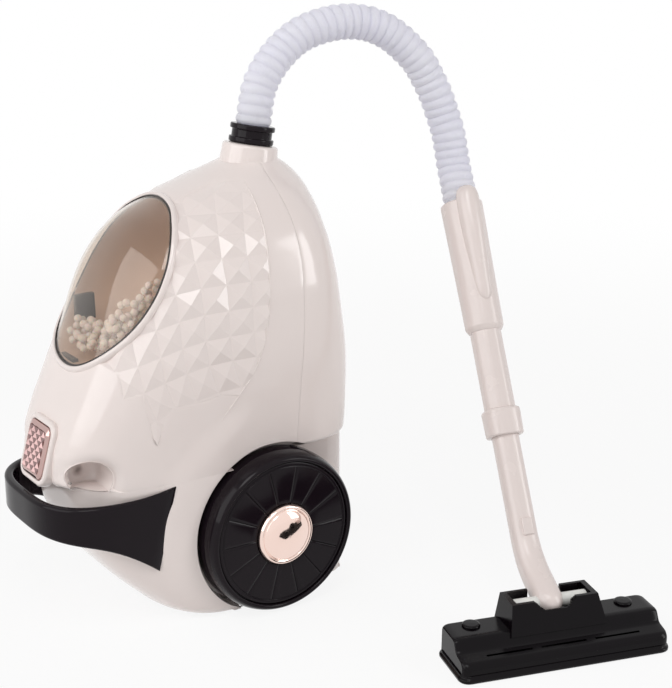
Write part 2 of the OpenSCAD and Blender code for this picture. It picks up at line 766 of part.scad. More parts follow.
// Rings of the dome from its edge to its crown, as shares of the window's size
dome_shares = [1, 0.86, 0.68, 0.48, 0.25];
dome_edge = rim_spigot + 2 * seat_fit;
function dome_point(t, s, low) =
    let (x = (window_half_w - dome_edge) * s * cos(t),
         z = window_z + (window_half_h - dome_edge) * s * sin(t))
        front_point(x, z, dome_rise * (1 - s * s) - (low ? dome_t : 0));
module window_dome() {
    m = window_segs;
    n = len(dome_shares);
    top = [for (s = dome_shares, a = [0:m - 1]) dome_point(-360 * a / m, s, false)];
    low = [for (i = [n - 1:-1:0], a = [0:m - 1]) dome_point(-360 * a / m, dome_shares[i], true)];
    crown = front_point(0, window_z, dome_rise);
    crown_low = front_point(0, window_z, dome_rise - dome_t);
    faces = concat(
        [for (k = [0:n - 2], a = [0:m - 1], h = [0, 1])
             let (p = k * m + a, q = k * m + (a + 1) % m) h == 0 ? [p, q, q + m] : [p, q + m, p + m]],
        [for (a = [0:m - 1]) [(n - 1) * m + a, (n - 1) * m + (a + 1) % m, 2 * n * m]],
        [for (k = [n:2 * n - 2], a = [0:m - 1], h = [0, 1])
             let (p = k * m + a, q = k * m + (a + 1) % m) h == 0 ? [p, q, q + m] : [p, q + m, p + m]],
        [for (a = [0:m - 1]) [n * m + (a + 1) % m, n * m + a, 2 * n * m + 1]],
        [for (a = [0:m - 1], h = [0, 1])
             let (p = (2 * n - 1) * m + a, q = (2 * n - 1) * m + (a + 1) % m, b = (a + 1) % m)
                 h == 0 ? [p, q, b] : [p, b, a]]);
    color([0.45, 0.35, 0.3, 0.6]) polyhedron(points = concat(top, low, [crown, crown_low]), faces = faces);
}

// The bead chamber is a bowl behind the window, open at its back for the air
bowl_angles = [0, 12, 25, 40, 56, 72];
function bowl_point(t, phi, grow) =
    let (edge = window_point(t, -dome_edge - tub_t + grow, -wall - seat_fit),
         back = -tub_back + grow)
        [edge[0] * cos(phi), edge[1] + (back - edge[1]) * sin(phi),
         window_z + (edge[2] - window_z) * cos(phi)];
module bead_chamber() {
    m = window_segs;
    n = len(bowl_angles);
    inner = [for (f = bowl_angles, a = [0:m - 1]) bowl_point(360 * a / m, f, 0)];
    outer = [for (i = [n - 1:-1:0], a = [0:m - 1]) bowl_point(360 * a / m, bowl_angles[i], tub_t)];
    faces = [
        for (k = [0:2 * n - 1], a = [0:m - 1], h = [0, 1])
            let (b = (a + 1) % m, k1 = (k + 1) % (2 * n),
                 p = k * m + a, q = k * m + b, r = k1 * m + b, s = k1 * m + a)
                h == 0 ? [p, r, q] : [p, s, r]
    ];
    color(cream) polyhedron(points = concat(inner, outer), faces = faces);
}

grille_r = (window_half_w - dome_edge) * cos(bowl_angles[len(bowl_angles) - 1]) + 2 * tub_t;
// Slots of the grille, as shares of its radius
grille_shares = [-0.5, -0.17, 0.17, 0.5];
module chamber_grille() {
    color(cream) translate([0, -tub_back, window_z]) rotate([-90, 0, 0]) difference() {
        cylinder(r = grille_r, h = tub_t);
        for (s = grille_shares) translate([s * grille_r, 0, tub_t / 2])
            cube([grille_r / 6, 2 * grille_r * (1 - abs(s)), tub_t + 2 * over], center = true);
    }
}

// Beads lie in rows on the chamber's floor
bead_row = 6;
module beads() {
    color("white") for (i = [0:bead_count - 1]) {
        row = floor(i / bead_row);
        x = (i % bead_row - (bead_row - 1) / 2) * 2.1 * bead_r + (row % 2) * bead_r / 2;
        y = front_y(0, window_z - window_half_h) + (row + 3.2) * 2.1 * bead_r;
        floor_z = window_z - sqrt(pow(window_half_h - dome_edge - tub_t, 2) - x * x);
        translate([x, y, floor_z + bead_r * (1.36 + 0.16 * row)]) sphere(r = bead_r, $fn = 16);
    }
}

// Depths behind the nose's face: the bezel's floor, its back, and the end of the spring's pocket
cap_back = bezel_proud + button_proud - button_t;
bezel_floor = button_travel + button_gap - cap_back;
bezel_back = bezel_floor + bezel_t;
pocket_end = bezel_floor + pocket_d + bezel_t;
spring_r = 2 * stem_r;
spring_t = stem_r / 2;
pocket_out_r = spring_r + seat_fit + bezel_t;
module button_bezel() {
    w = button_w + 2 * button_gap;
    h = button_h + 2 * button_gap;
    color(cream) at_button() difference() {
        union() {
            translate([0, 0, -bezel_back])
                rounded_plate(w + 2 * bezel_w, h + 2 * bezel_w, button_corner_r + bezel_w,
                              bezel_back + bezel_proud);
            translate([0, 0, -pocket_end]) cylinder(r = pocket_out_r, h = pocket_d);
        }
        translate([0, 0, -bezel_floor])
            rounded_plate(w, h, button_corner_r, bezel_floor + bezel_proud + over);
        translate([0, 0, -bezel_floor - pocket_d]) cylinder(r = spring_r + seat_fit, h = pocket_d + over);
        translate([0, 0, -pocket_end - over]) cylinder(r = stem_r + run_fit, h = bezel_t + 2 * over);
    }
}

// The button's cap slides in the bezel; its stem runs in the pocket's end and stops at the switch
stem_end = pocket_end + wall;
module power_button() {
    color(rose) at_button() {
        translate([0, 0, cap_back]) rounded_plate(button_w, button_h, button_corner_r, button_t);
        translate([0, 0, -stem_end]) cylinder(r = stem_r, h = stem_end + cap_back + button_t / 2);
    }
}

module button_spring() {
    color("silver") at_button() translate([0, 0, -bezel_floor - pocket_d]) difference() {
        cylinder(r = spring_r, h = pocket_d + bezel_floor + cap_back);
        translate([0, 0, -over]) cylinder(r = spring_r - spring_t, h = pocket_d + button_h);
    }
}

// The switch hangs from the pocket's end by two cheeks
switch_w = 4 * stem_r;
module switch() {
    color("dimgray") at_button() translate([0, 0, -stem_end - button_travel - seat_fit]) {
        translate([-switch_w, -switch_w / 2, -switch_w]) cube([2 * switch_w, switch_w, switch_w]);
        for (x = [-1, 1]) translate([x * (spring_r + spring_t) - spring_t, -switch_w / 2, 0])
            cube([2 * spring_t, switch_w, button_travel + wall + seat_fit]);
    }
}

// The handle is a band swept around the nose; its ends lie against the shell's sides
handle_segs = 26;
handle_n = 2.5;
function handle_plan(t) =
    [(handle_half_w - handle_end_t / 2) * spow(cos(t), 2 / handle_n),
     -handle_back - (handle_front - handle_back - handle_t / 2) * pow(sin(t), 2 / handle_n)];
// Place of the band's end edge at a height, along an arc about the axle
function handle_edge(z) = handle_back - sqrt(pow(handle_end_r, 2) - pow(z - axle_z, 2));
function handle_ring(i) =
    let (t = 180 * i / handle_segs, p = handle_plan(t),
         d = unit(handle_plan(min(180, t + 1)) - handle_plan(max(0, t - 1))),
         k = pow(abs(cos(t)), 4), e = pow(abs(cos(t)), 12),
         half = (handle_t + (handle_end_t - handle_t) * e) / 2, o = half * [-d[1], d[0]],
         low = handle_top_z - handle_h - (handle_end_h - handle_h) * k, r = half / 2)
        [for (q = [[1, low + r], [0.5, low], [-0.5, low], [-1, low + r],
                   [-1, handle_top_z - r], [-0.5, handle_top_z], [0.5, handle_top_z], [1, handle_top_z - r]])
             [p[0] - q[0] * o[0], p[1] - q[0] * o[1] + e * handle_edge(q[1]), q[1]]];
module handle() {
    m = 8;
    n = handle_segs + 1;
    pts = flat([for (i = [0:handle_segs]) handle_ring(i)]);
    faces = concat(
        [for (k = [0:n - 2], j = [0:m - 1], h = [0, 1])
             let (a = k * m + j, b = k * m + (j + 1) % m)
                 h == 0 ? [a, b, b + m] : [a, b + m, a + m]],
        [for (j = [1:m - 2]) [0, j + 1, j]],
        [for (j = [1:m - 2]) [(n - 1) * m, (n - 1) * m + j, (n - 1) * m + j + 1]]);
    color(black) polyhedron(points = pts, faces = faces);
}

module neck_collar() {
    color(cream) at_neck() difference() {
        union() {
            cylinder(r1 = collar_foot_r, r2 = collar_r, h = collar_h);
            translate([0, 0, -collar_sink]) cylinder(r = collar_foot_r, h = collar_sink);
        }
        translate([0, 0, -collar_sink - over])
            cylinder(r = spigot_r + run_fit, h = collar_h + collar_sink + 2 * over);
    }
}

module hose_coupler() {
    bore_r = hose_r - rib_d - hose_t;
    lip_h = flange_h / 2;
    low = -collar_sink - flange_gap;
    top = collar_h + flange_gap;
    color(black) at_neck() rotate_extrude() polygon([
        [bore_r, low - lip_h], [spigot_r + lip_h / 2, low - lip_h], [spigot_r + lip_h, low], [spigot_r, low],
        [spigot_r, top], [flange_r - flange_h / 4, top], [flange_r, top + flange_h / 4],
        [flange_r, top + flange_h * 3 / 4], [flange_r - flange_h / 4, top + flange_h],
        [waist_r, top + flange_h], [waist_r, top + flange_h + waist_h],
        [flange_r - flange_h / 4, top + flange_h + waist_h], [flange_r, top + flange_h * 5 / 4 + waist_h],
        [flange_r, top + flange_h * 7 / 4 + waist_h], [flange_r - flange_h / 4, coupler_top],
        [bore_r, coupler_top]
    ]);
}

// The hose: a curve through the route's points, with a rib for each pair of rings
route = concat(
    [hose_start, hose_start + hose_r * neck_axis],
    [for (i = [2:len(hose_route) - 1]) hose_route[i]],
    [hose_end + hose_run * wand_axis, hose_end]);
route_spans = len(route) - 1;
function route_at(i) = route[max(0, min(route_spans, i))];
function curve(u) =
    let (i = min(route_spans - 1, floor(u)), f = u - i,
         a = route_at(i - 1), b = route_at(i), c = route_at(i + 1), d = route_at(i + 2))
        b + f * (c - a) / 2 + f * f * (2 * a - 5 * b + 4 * c - d) / 2
            + f * f * f * (3 * b - a - 3 * c + d) / 2;
// The curve is divided into equal lengths
curve_steps = 12 * route_spans;
curve_pts = [for (i = [0:curve_steps]) curve(route_spans * i / curve_steps)];
function step_len(i) = norm(curve_pts[min(i + 1, curve_steps)] - curve_pts[i]);
curve_len = [for (i = 0, s = 0; i <= curve_steps; s = s + step_len(i), i = i + 1) [s, i]];
hose_len = curve_len[curve_steps][0];
function along(s) =
    let (v = lookup(s, curve_len), i = min(curve_steps - 1, floor(v)), f = v - i)
        curve_pts[i] * (1 - f) + curve_pts[i + 1] * f;
// Both ends are cut square to what they meet
function heading(s) =
    s <= hose_r ? neck_axis
    : s >= hose_len - hose_run ? -wand_axis
    : unit(along(s + hose_r / 2) - along(s - hose_r / 2));
hose_sides = 16;
loop_normal = unit(cross([0, 0, 1], hose_end - hose_start));
function hose_ring(s, r) =
    let (c = along(s), t = heading(s), a = unit(cross(loop_normal, t)), b = cross(t, a))
        [for (j = [0:hose_sides - 1])
             let (q = 360 * j / hose_sides) c + r * (cos(q) * a + sin(q) * b)];
rib_pitch = hose_len / rib_count;
module hose() {
    m = hose_sides;
    bore_r = hose_r - rib_d - hose_t;
    // each rib is a crest ring and a groove ring; the first and last rings end the tube
    outer = concat(
        [hose_ring(0, hose_r - rib_d)],
        [for (k = [0:rib_count - 1], h = [0, 1])
             hose_ring((k + 0.3 + 0.4 * h) * rib_pitch, hose_r)],
        [hose_ring(hose_len, hose_r - rib_d)]);
    grooved = concat(
        [outer[0]],
        [for (k = [0:rib_count - 1])
             each (k < rib_count - 1
                   ? [outer[1 + 2 * k], outer[2 + 2 * k], hose_ring((k + 1) * rib_pitch, hose_r - rib_d)]
                   : [outer[1 + 2 * k], outer[2 + 2 * k]])],
        [outer[2 * rib_count + 1]]);
    inner = [for (k = [rib_count:-1:0]) hose_ring(k * rib_pitch, bore_r)];
    rings = concat(grooved, inner);
    n = len(rings);
    faces = [
        for (k = [0:n - 1], j = [0:m - 1], h = [0, 1])
            let (k1 = (k + 1) % n, i = (j + 1) % m)
                h == 0 ? [k * m + j, k1 * m + i, k * m + i] : [k * m + j, k1 * m + j, k1 * m + i]
    ];
    color([0.9, 0.9, 0.96, 0.8]) polyhedron(points = flat(rings), faces = faces);
}

module grip() {
    color(cream) at_wand() difference() {
        union() {
            translate([0, 0, -grip_len]) cylinder(r1 = grip_foot_r, r2 = grip_r, h = grip_len);
            // tongue along the front
            translate([0, tongue_r - grip_r, tongue_reach - tongue_len]) {
                cylinder(r = tongue_r, h = tongue_len);
                sphere(r = tongue_r);
            }
        }
        translate([0, 0, -socket_d]) cylinder(r = hose_r + seat_fit, h = socket_d + tongue_reach + over);
        translate([0, 0, -grip_len]) cylinder(r = lower_r - lower_t, h = grip_len);
        translate([0, 0, -grip_len - over]) cylinder(r = upper_r, h = upper_in + over);
    }
}

module upper_tube() {
    color(cream) at_wand() translate([0, 0, -upper_end]) difference() {
        cylinder(r = upper_r, h = upper_end - grip_len + upper_in);
        translate([0, 0, -over]) cylinder(r = lower_r + run_fit, h = upper_end + 2 * over);
    }
}

// The collar grips the foot of the upper tube and guides the lower one
module wand_collar() {
    color(cream) at_wand() translate([0, 0, -upper_end - ring_len + wall]) difference() {
        cylinder(r = ring_r, h = ring_len);
        translate([0, 0, ring_len - wall]) cylinder(r = upper_r, h = wall + over);
        translate([0, 0, -over]) cylinder(r = lower_r + run_fit, h = ring_len + 2 * over);
    }
}

// Half length of the cross pin, whose ends lie in blind bores
pin_half = block_len / 2 - block_t / 2;
module lower_tube() {
    color(cream) {
        at_wand() difference() {
            union() {
                translate([0, 0, -bend_at]) cylinder(r = lower_r, h = bend_at - upper_end + lower_in);
                translate([0, 0, -bend_at]) sphere(r = bend_r);
            }
            translate([0, 0, bend_r - bend_at]) cylinder(r = lower_r - lower_t, h = bend_at);
        }
        translate(pin_point) rotate([0, 0, head_turn]) {
            rotate([elbow_drop - 90, 0, 0]) cylinder(r = leg_r, h = elbow_len);
            sphere(r = elbow_r);
            translate([-pin_half, 0, 0]) rotate([0, 90, 0]) cylinder(r = pin_r, h = 2 * pin_half);
        }
    }
}

head_top = sole_h + head_h;
// Outline of the top shell from front to back, as shares of its half depth and of head_h
head_shares = [
    [-1, 0], [-1, 0.2], [-0.92, 0.34], [-0.35, 0.52], [-0.16, 0.94], [-0.04, 1], [0.86, 1],
    [0.94, 0.92], [1, 0]
];
module head_outline(inset) {
    d = head_depth / 2 - head_inset - inset;
    h = head_h - inset;
    polygon([for (s = head_shares) [s[0] * d, s[1] * h]]);
}
module head_bar(inset) {
    len = head_len - 2 * (head_inset + inset);
    translate([-len / 2, 0, sole_h]) rotate([90, 0, 90]) linear_extrude(len) head_outline(inset);
}
// The hinge block: a sloped front, a gap for the elbow and a trough for the pin
block_base_d = block_top_d + block_h / 2;
module block_bar(len) {
    back = pin_back + block_top_d / 2;
    translate([-len / 2, 0, head_top - head_t]) rotate([90, 0, 90]) linear_extrude(len) polygon([
        [back - block_base_d, 0], [back, 0], [back, block_h + head_t], [back - block_top_d, block_h + head_t]
    ]);
}
module head_shell() {
    color(black) at_head() difference() {
        union() {
            difference() {
                head_bar(0);
                translate([0, 0, -over]) head_bar(head_t);
            }
            block_bar(block_len);
        }
        // gap for the elbow, and the trough that shows the pin
        translate([-elbow_gap / 2, pin_back, pin_z]) rotate([0, 90, 0])
            cylinder(r = elbow_r + elbow_fit, h = elbow_gap);
        translate([-elbow_gap / 2, pin_back, pin_z - leg_r - elbow_fit])
            cube([elbow_gap, head_depth, block_h + head_h]);
        translate([block_t - block_len / 2, pin_back - block_top_d / 2 + block_t, pin_z - pin_r - over])
            cube([block_len - 2 * block_t, block_top_d - 2 * block_t, block_h + head_h]);
        translate([-pin_half - seat_fit, pin_back, pin_z]) rotate([0, 90, 0])
            cylinder(r = pin_r + run_fit, h = 2 * (pin_half + seat_fit));
        // front slots
        for (i = [-1, 0, 1]) translate([i * slot_pitch - slot_len / 2, -head_depth / 3, sole_h])
            cube([slot_len, slot_w, head_h]);
        for (x = [-1, 1]) translate([x * stud_x, pin_back, sole_h])
            cylinder(r = screw_r + run_fit, h = head_h + over);
    }
}

module head_sole() {
    color(black) at_head() difference() {
        union() {
            rounded_plate(head_len, head_depth, head_inset * 2, sole_h);
            for (x = [-1, 1]) translate([x * stud_x, pin_back, 0])
                cylinder(r = screw_r + head_t, h = head_top - 1.5 * head_t - seat_fit);
        }
        // suction slot
        translate([-head_len / 2 + 2 * boss_r, -head_depth / 4 - slot_w, -over])
            cube([head_len - 4 * boss_r, 2 * slot_w, sole_h + 2 * over]);
        for (x = [-1, 1]) translate([x * stud_x, pin_back, -over]) {
            cylinder(r = screw_r, h = head_top);
            cylinder(r = screw_head_r + seat_fit, h = over + sole_h / 2);
        }
    }
}

module head_caps() {
    color(black) at_head() for (x = [-1, 1]) translate([x * stud_x, pin_back, head_top])
        cylinder(r = stud_r, h = stud_h);
}

module head_screws() {
    color("silver") at_head() for (x = [-1, 1])
        translate([x * stud_x, pin_back, sole_h / 2]) mirror([0, 0, 1]) screw(screw_len);
}

// Outline of the wheel, as shares: radius of wheel_r, distance from the back of wheel_w
tread_shares = [[0.96, 0], [1, 0.1], [1, 0.48], [0.975, 0.74], [0.93, 0.93], [0.885, 1]];
rim_inner_share = 0.86;
hub_share = 0.18;
web_t = 4;
module wheel() {
    face = wheel_w - disc_seat;
    rim = wheel_r * rim_inner_share;
    hub = wheel_r * hub_share;
    translate([wheel_in, 0, axle_z]) rotate([0, 90, 0]) rotate_extrude() polygon(concat(
        [[axle_r + run_fit, 0], [hub, 0], [hub, face - web_t], [rim, face - web_t], [rim, 0]],
        [for (s = tread_shares) [wheel_r * s[0], wheel_w * s[1]]],
        [[disc_r + seat_fit, wheel_w], [disc_r + seat_fit, face], [axle_r + run_fit, face]]));
}
module wheel_disc() {
    translate([wheel_in + wheel_w - disc_seat, 0, axle_z]) rotate([0, 90, 0]) difference() {
        cylinder(r = disc_r, h = disc_t);
        translate([0, 0, -over]) cylinder(r = clip_r + seat_fit, h = disc_t + 2 * over);
        for (i = [0:groove_count - 1]) rotate([0, 0, 360 * i / groove_count])
            translate([cap_r, -groove_w / 2, disc_t - groove_d]) cube([wheel_r, groove_w, disc_t]);
    }
}
module hub_cap() {
    r = cap_r - cap_rim_w;
    ball_r = (r * r + cap_dome_h * cap_dome_h) / (2 * cap_dome_h);
    translate([wheel_in + wheel_w - disc_seat + disc_t, 0, axle_z]) rotate([0, 90, 0]) {
        cylinder(r = cap_r, h = cap_rim_h);
        intersection() {
            translate([0, 0, cap_rim_h + cap_dome_h - ball_r]) sphere(r = ball_r);
            cylinder(r = r, h = cap_rim_h + cap_dome_h + over);
        }
    }
}
module wheel_left() { color(black) wheel(); }
module wheel_right() { color(black) mirror([1, 0, 0]) wheel(); }
module wheel_disc_left() { color(black) wheel_disc(); }
module wheel_disc_right() { color(black) mirror([1, 0, 0]) wheel_disc(); }
module hub_cap_left() { color(rose) hub_cap(); }
module hub_cap_right() { color(rose) mirror([1, 0, 0]) hub_cap(); }

axle_half = wheel_in + wheel_w - disc_seat + disc_t - seat_fit;
module axle() {
    color("silver") translate([-axle_half, 0, axle_z]) rotate([0, 90, 0])
        cylinder(r = axle_r, h = 2 * axle_half);
}
module axle_clips() {
    color("silver") both_sides() translate([axle_half - clip_t, 0, axle_z]) rotate([0, 90, 0]) difference() {
        cylinder(r = clip_r, h = clip_t);
        translate([0, 0, -over]) cylinder(r = axle_r, h = clip_t + 2 * over);
    }
}

// The caster: a stem in the base's pocket, two cheeks and a roller that trails behind the swivel
roller_z = roller_r - ground_gap;
fork_top = pocket_h - seat_fit;
cheek_x = roller_w / 2 + seat_fit;
module caster_fork() {
    color(black) translate([0, -caster_front, 0]) {
        difference() {
            union() {
                translate([0, 0, fork_top - fork_t]) cylinder(r = cheek_x + fork_t, h = fork_t);
                for (x = [-1, 1]) translate([x * (cheek_x + fork_t / 2), caster_trail / 2, 0])
                    translate([-fork_t / 2, -caster_trail, roller_z - 2 * roller_pin_r])
                        cube([fork_t, 2 * caster_trail, fork_top - roller_z + 2 * roller_pin_r]);
            }
            translate([-pocket_r, caster_trail, roller_z]) rotate([0, 90, 0])
                cylinder(r = roller_pin_r, h = 2 * pocket_r);
        }
        translate([0, 0, fork_top - fork_t])
            cylinder(r = swivel_r, h = pocket_h + 2 * base_t - fork_top + fork_t);
    }
}
module caster_pin() {
    color("silver") translate([-cheek_x - fork_t, caster_trail - caster_front, roller_z]) rotate([0, 90, 0])
        cylinder(r = roller_pin_r, h = 2 * (cheek_x + fork_t));
}
module caster_roller() {
    color(black) translate([-roller_w / 2, caster_trail - caster_front, roller_z]) rotate([0, 90, 0])
        difference() {
            cylinder(r = roller_r, h = roller_w);
            translate([0, 0, -over]) cylinder(r = roller_pin_r + run_fit, h = roller_w + 2 * over);
        }
}

module motor() {
    color("silver") translate([0, motor_y, window_z]) rotate([-90, 0, 0]) difference() {
        cylinder(r = motor_r, h = motor_len);
        translate([0, 0, -over]) cylinder(r = shaft_r + run_fit, h = motor_len / 2);
    }
}
bracket_y = motor_y + motor_len / 2;
// The bracket's arms reach the rear shell's side walls
bracket_x = at_level(window_z, 1) - at_level(window_z, 6) - seat_fit;
module motor_bracket() {
    color(cream) translate([0, bracket_y, window_z]) rotate([-90, 0, 0]) difference() {
        union() {
            cylinder(r = motor_r + bracket_t, h = bracket_t);
            translate([-bracket_x, 0, 0]) cube([2 * bracket_x, motor_r, bracket_t]);
        }
        translate([0, 0, -over]) cylinder(r = motor_r, h = bracket_t + 2 * over);
    }
}
module fan() {
    color("white") translate([0, motor_y - fan_w - wall, window_z]) rotate([-90, 0, 0]) {
        cylinder(r = fan_r / 4, h = fan_w);
        cylinder(r = shaft_r, h = fan_w + wall + motor_len / 3);
        for (i = [0:blade_count - 1]) rotate([0, 0, 360 * i / blade_count])
            translate([0, 0, fan_w / 2]) rotate([blade_pitch, 0, 0])
                translate([0, -bracket_t / 4, -fan_w / 2]) cube([fan_r, bracket_t / 2, fan_w]);
    }
}

front_shell();
front_skirt();
rear_shell();
base();
finger_scoops();
wheel_wells();
window_rim();
window_dome();
bead_chamber();
chamber_grille();
beads();
button_bezel();
power_button();
button_spring();
switch();
handle();
neck_collar();
axle();
axle_clips();
wheel_left();
wheel_disc_left();
hub_cap_left();
wheel_right();
wheel_disc_right();
hub_cap_right();
caster_fork();
caster_pin();
caster_roller();
motor();
motor_bracket();
fan();
cells();
cell_contacts();
battery_door();
door_screw();
screw_posts();
screw_tubes();
shell_screws();
hose_coupler();
hose();
grip();
upper_tube();
wand_collar();
lower_tube();
head_shell();
head_sole();
head_caps();
head_screws();
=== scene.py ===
from math import cos, hypot, pi, radians, sin

import bmesh
import bpy
import numpy as np
from mathutils import Matrix, Vector


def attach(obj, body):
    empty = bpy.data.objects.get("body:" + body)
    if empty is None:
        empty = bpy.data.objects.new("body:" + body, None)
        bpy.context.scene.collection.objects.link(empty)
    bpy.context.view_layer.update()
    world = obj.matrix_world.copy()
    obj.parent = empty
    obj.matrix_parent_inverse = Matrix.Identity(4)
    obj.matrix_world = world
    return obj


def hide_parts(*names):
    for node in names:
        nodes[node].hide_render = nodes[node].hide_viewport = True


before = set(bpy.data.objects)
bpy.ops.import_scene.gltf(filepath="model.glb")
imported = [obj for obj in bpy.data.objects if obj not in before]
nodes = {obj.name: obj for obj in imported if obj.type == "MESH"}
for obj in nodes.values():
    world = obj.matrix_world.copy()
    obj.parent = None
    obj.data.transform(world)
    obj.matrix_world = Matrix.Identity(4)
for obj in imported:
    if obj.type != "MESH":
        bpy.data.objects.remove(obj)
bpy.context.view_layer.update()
MM = 0.001
RIGHT = np.array([1.0, 0, 0])


def link(name, data):
    """A new object in the scene."""
    made = bpy.data.objects.new(name, data)
    bpy.context.scene.collection.objects.link(made)
    return made


# Camera at the photograph's angle
AZIMUTH, ELEVATION = radians(55.516), radians(17.354)
AIM, DISTANCE = Vector((0.1094, 0, 0.1627)), 0.731728
LENS, SENSOR = 78.49, 36


def make_camera():
    level = cos(ELEVATION)
    back = Vector((sin(AZIMUTH) * level, -cos(AZIMUTH) * level, sin(ELEVATION)))
    right = Vector((cos(AZIMUTH), sin(AZIMUTH), 0))
    data = bpy.data.cameras.new("camera")
    data.lens = LENS
    data.sensor_width = SENSOR
    camera = link("camera", data)
    camera.matrix_world = Matrix((right, back.cross(right), back)).transposed().to_4x4()
    camera.matrix_world.translation = AIM + DISTANCE * back
    bpy.context.scene.camera = camera


make_camera()


# Materials
NOISE_LOW, NOISE_HIGH = 0.3, 0.7


def linear(r, g, b):
    def one(c):
        c = c / 255
        return c / 12.92 if c <= 0.04045 else ((c + 0.055) / 1.055) ** 2.4
    return one(r), one(g), one(b), 1


def surface(name):
    material = bpy.data.materials.new(name)
    material.use_nodes = True
    tree = material.node_tree
    return material, tree, tree.nodes["Principled BSDF"]


def fill(tree, target, inputs):
    """Sets a node's inputs; another node's output is linked."""
    for key, value in inputs.items():
        if isinstance(value, bpy.types.NodeSocket):
            tree.links.new(value, target.inputs[key])
        else:
            target.inputs[key].default_value = value


def node(tree, kind, inputs=None, **settings):
    """The outputs of a new shader node."""
    made = tree.nodes.new("ShaderNode" + kind)
    for key, value in settings.items():
        setattr(made, key, value)
    fill(tree, made, inputs or {})
    return made.outputs


def larger(tree, a, b):
    return node(tree, "Math", {0: a, 1: b}, operation="MAXIMUM")["Value"]


def blend(tree, out, share, first, second):
    mix = node(tree, "MixShader", {"Fac": share, 1: first, 2: second})
    fill(tree, out, {"Surface": mix["Shader"]})


def noise(tree, scale, detail, stretch=None):
    source = node(tree, "TexCoord")["Object"]
    if stretch:
        source = node(tree, "Mapping", {"Scale": stretch, "Vector": source})["Vector"]
    return node(tree, "TexNoise", {"Scale": scale, "Detail": detail, "Vector": source})["Fac"]


def spread(tree, value, low, high):
    ends = {"From Min": NOISE_LOW, "From Max": NOISE_HIGH, "To Min": low, "To Max": high}
    return node(tree, "MapRange", {"Value": value, **ends})["Result"]


def tint(tree, value, dark, light):
    ramp = tree.nodes.new("ShaderNodeValToRGB")
    for end, place, colour in zip(ramp.color_ramp.elements, (NOISE_LOW, NOISE_HIGH), (dark, light)):
        end.position = place
        end.color = linear(*colour)
    fill(tree, ramp, {"Fac": value})
    return ramp.outputs["Color"]


def relief(tree, value, strength, distance):
    return node(tree, "Bump", {"Strength": strength, "Distance": distance, "Height": value})["Normal"]


def plastic(name, dark, light, rough, coat=0.0, wave=0.02, grain=900.0, gloss=0.5):
    material, tree, bsdf = surface(name)
    fill(tree, bsdf, {
        "Base Color": tint(tree, noise(tree, 14.0, 2.0), dark, light),
        "Roughness": spread(tree, noise(tree, 60.0, 4.0), rough * 0.8, rough * 1.2),
        "Normal": relief(tree, noise(tree, grain, 2.0), wave, 0.0004),
        "IOR": 1.5, "Specular IOR Level": gloss, "Coat Weight": coat, "Coat Roughness": 0.04})
    return material


def metal(name, dark, light, rough, stretch=None):
    material, tree, bsdf = surface(name)
    fill(tree, bsdf, {
        "Metallic": 1.0,
        "Base Color": tint(tree, noise(tree, 30.0, 2.0), dark, light),
        "Roughness": spread(tree, noise(tree, 400.0, 3.0, stretch), rough * 0.6, rough * 1.4),
        "Normal": relief(tree, noise(tree, 700.0, 2.0, stretch), 0.03, 0.0002)})
    return material


def make_hose_material():
    material, tree, bsdf = surface("hose_plastic")
    fill(tree, bsdf, {
        "Base Color": tint(tree, noise(tree, 25.0, 2.0), (244, 244, 254), (250, 250, 255)),
        "Roughness": spread(tree, noise(tree, 120.0, 3.0), 0.24, 0.36),
        "Normal": relief(tree, noise(tree, 1200.0, 2.0), 0.03, 0.0003),
        "Subsurface Weight": 0.6, "Subsurface Radius": (1.0, 1.0, 1.1), "Subsurface Scale": 0.006,
        "IOR": 1.48})
    # thin wall that light shines through
    through = node(tree, "BsdfTranslucent", {"Color": linear(250, 249, 255)})["BSDF"]
    blend(tree, tree.nodes["Material Output"], 0.35, bsdf.outputs["BSDF"], through)
    return material


def make_window_material():
    material, tree, bsdf = surface("smoked_window")
    fill(tree, bsdf, {
        "Base Color": tint(tree, noise(tree, 18.0, 1.0), (238, 226, 214), (240, 229, 218)),
        "Normal": relief(tree, noise(tree, 40.0, 1.0), 0.01, 0.0004),
        "Transmission Weight": 1.0, "Roughness": 0.02, "IOR": 1.46})
    # light passes straight through to the beads
    clear = node(tree, "BsdfTransparent", {"Color": (0.86, 0.81, 0.77, 1)})["BSDF"]
    path = node(tree, "LightPath")
    passes = larger(tree, path["Is Shadow Ray"], path["Is Diffuse Ray"])
    blend(tree, tree.nodes["Material Output"], passes, bsdf.outputs["BSDF"], clear)
    return material


def make_bead_material():
    material, tree, bsdf = surface("bead_foam")
    cells = node(tree, "TexVoronoi", {"Scale": 1600.0, "Vector": node(tree, "TexCoord")["Object"]})
    fill(tree, bsdf, {
        "Base Color": tint(tree, noise(tree, 300.0, 2.0), (240, 238, 236), (252, 251, 250)),
        "Normal": relief(tree, cells["Distance"], 0.35, 0.0004),
        "Roughness": 0.75, "Subsurface Weight": 0.25, "Subsurface Scale": 0.002})
    return material


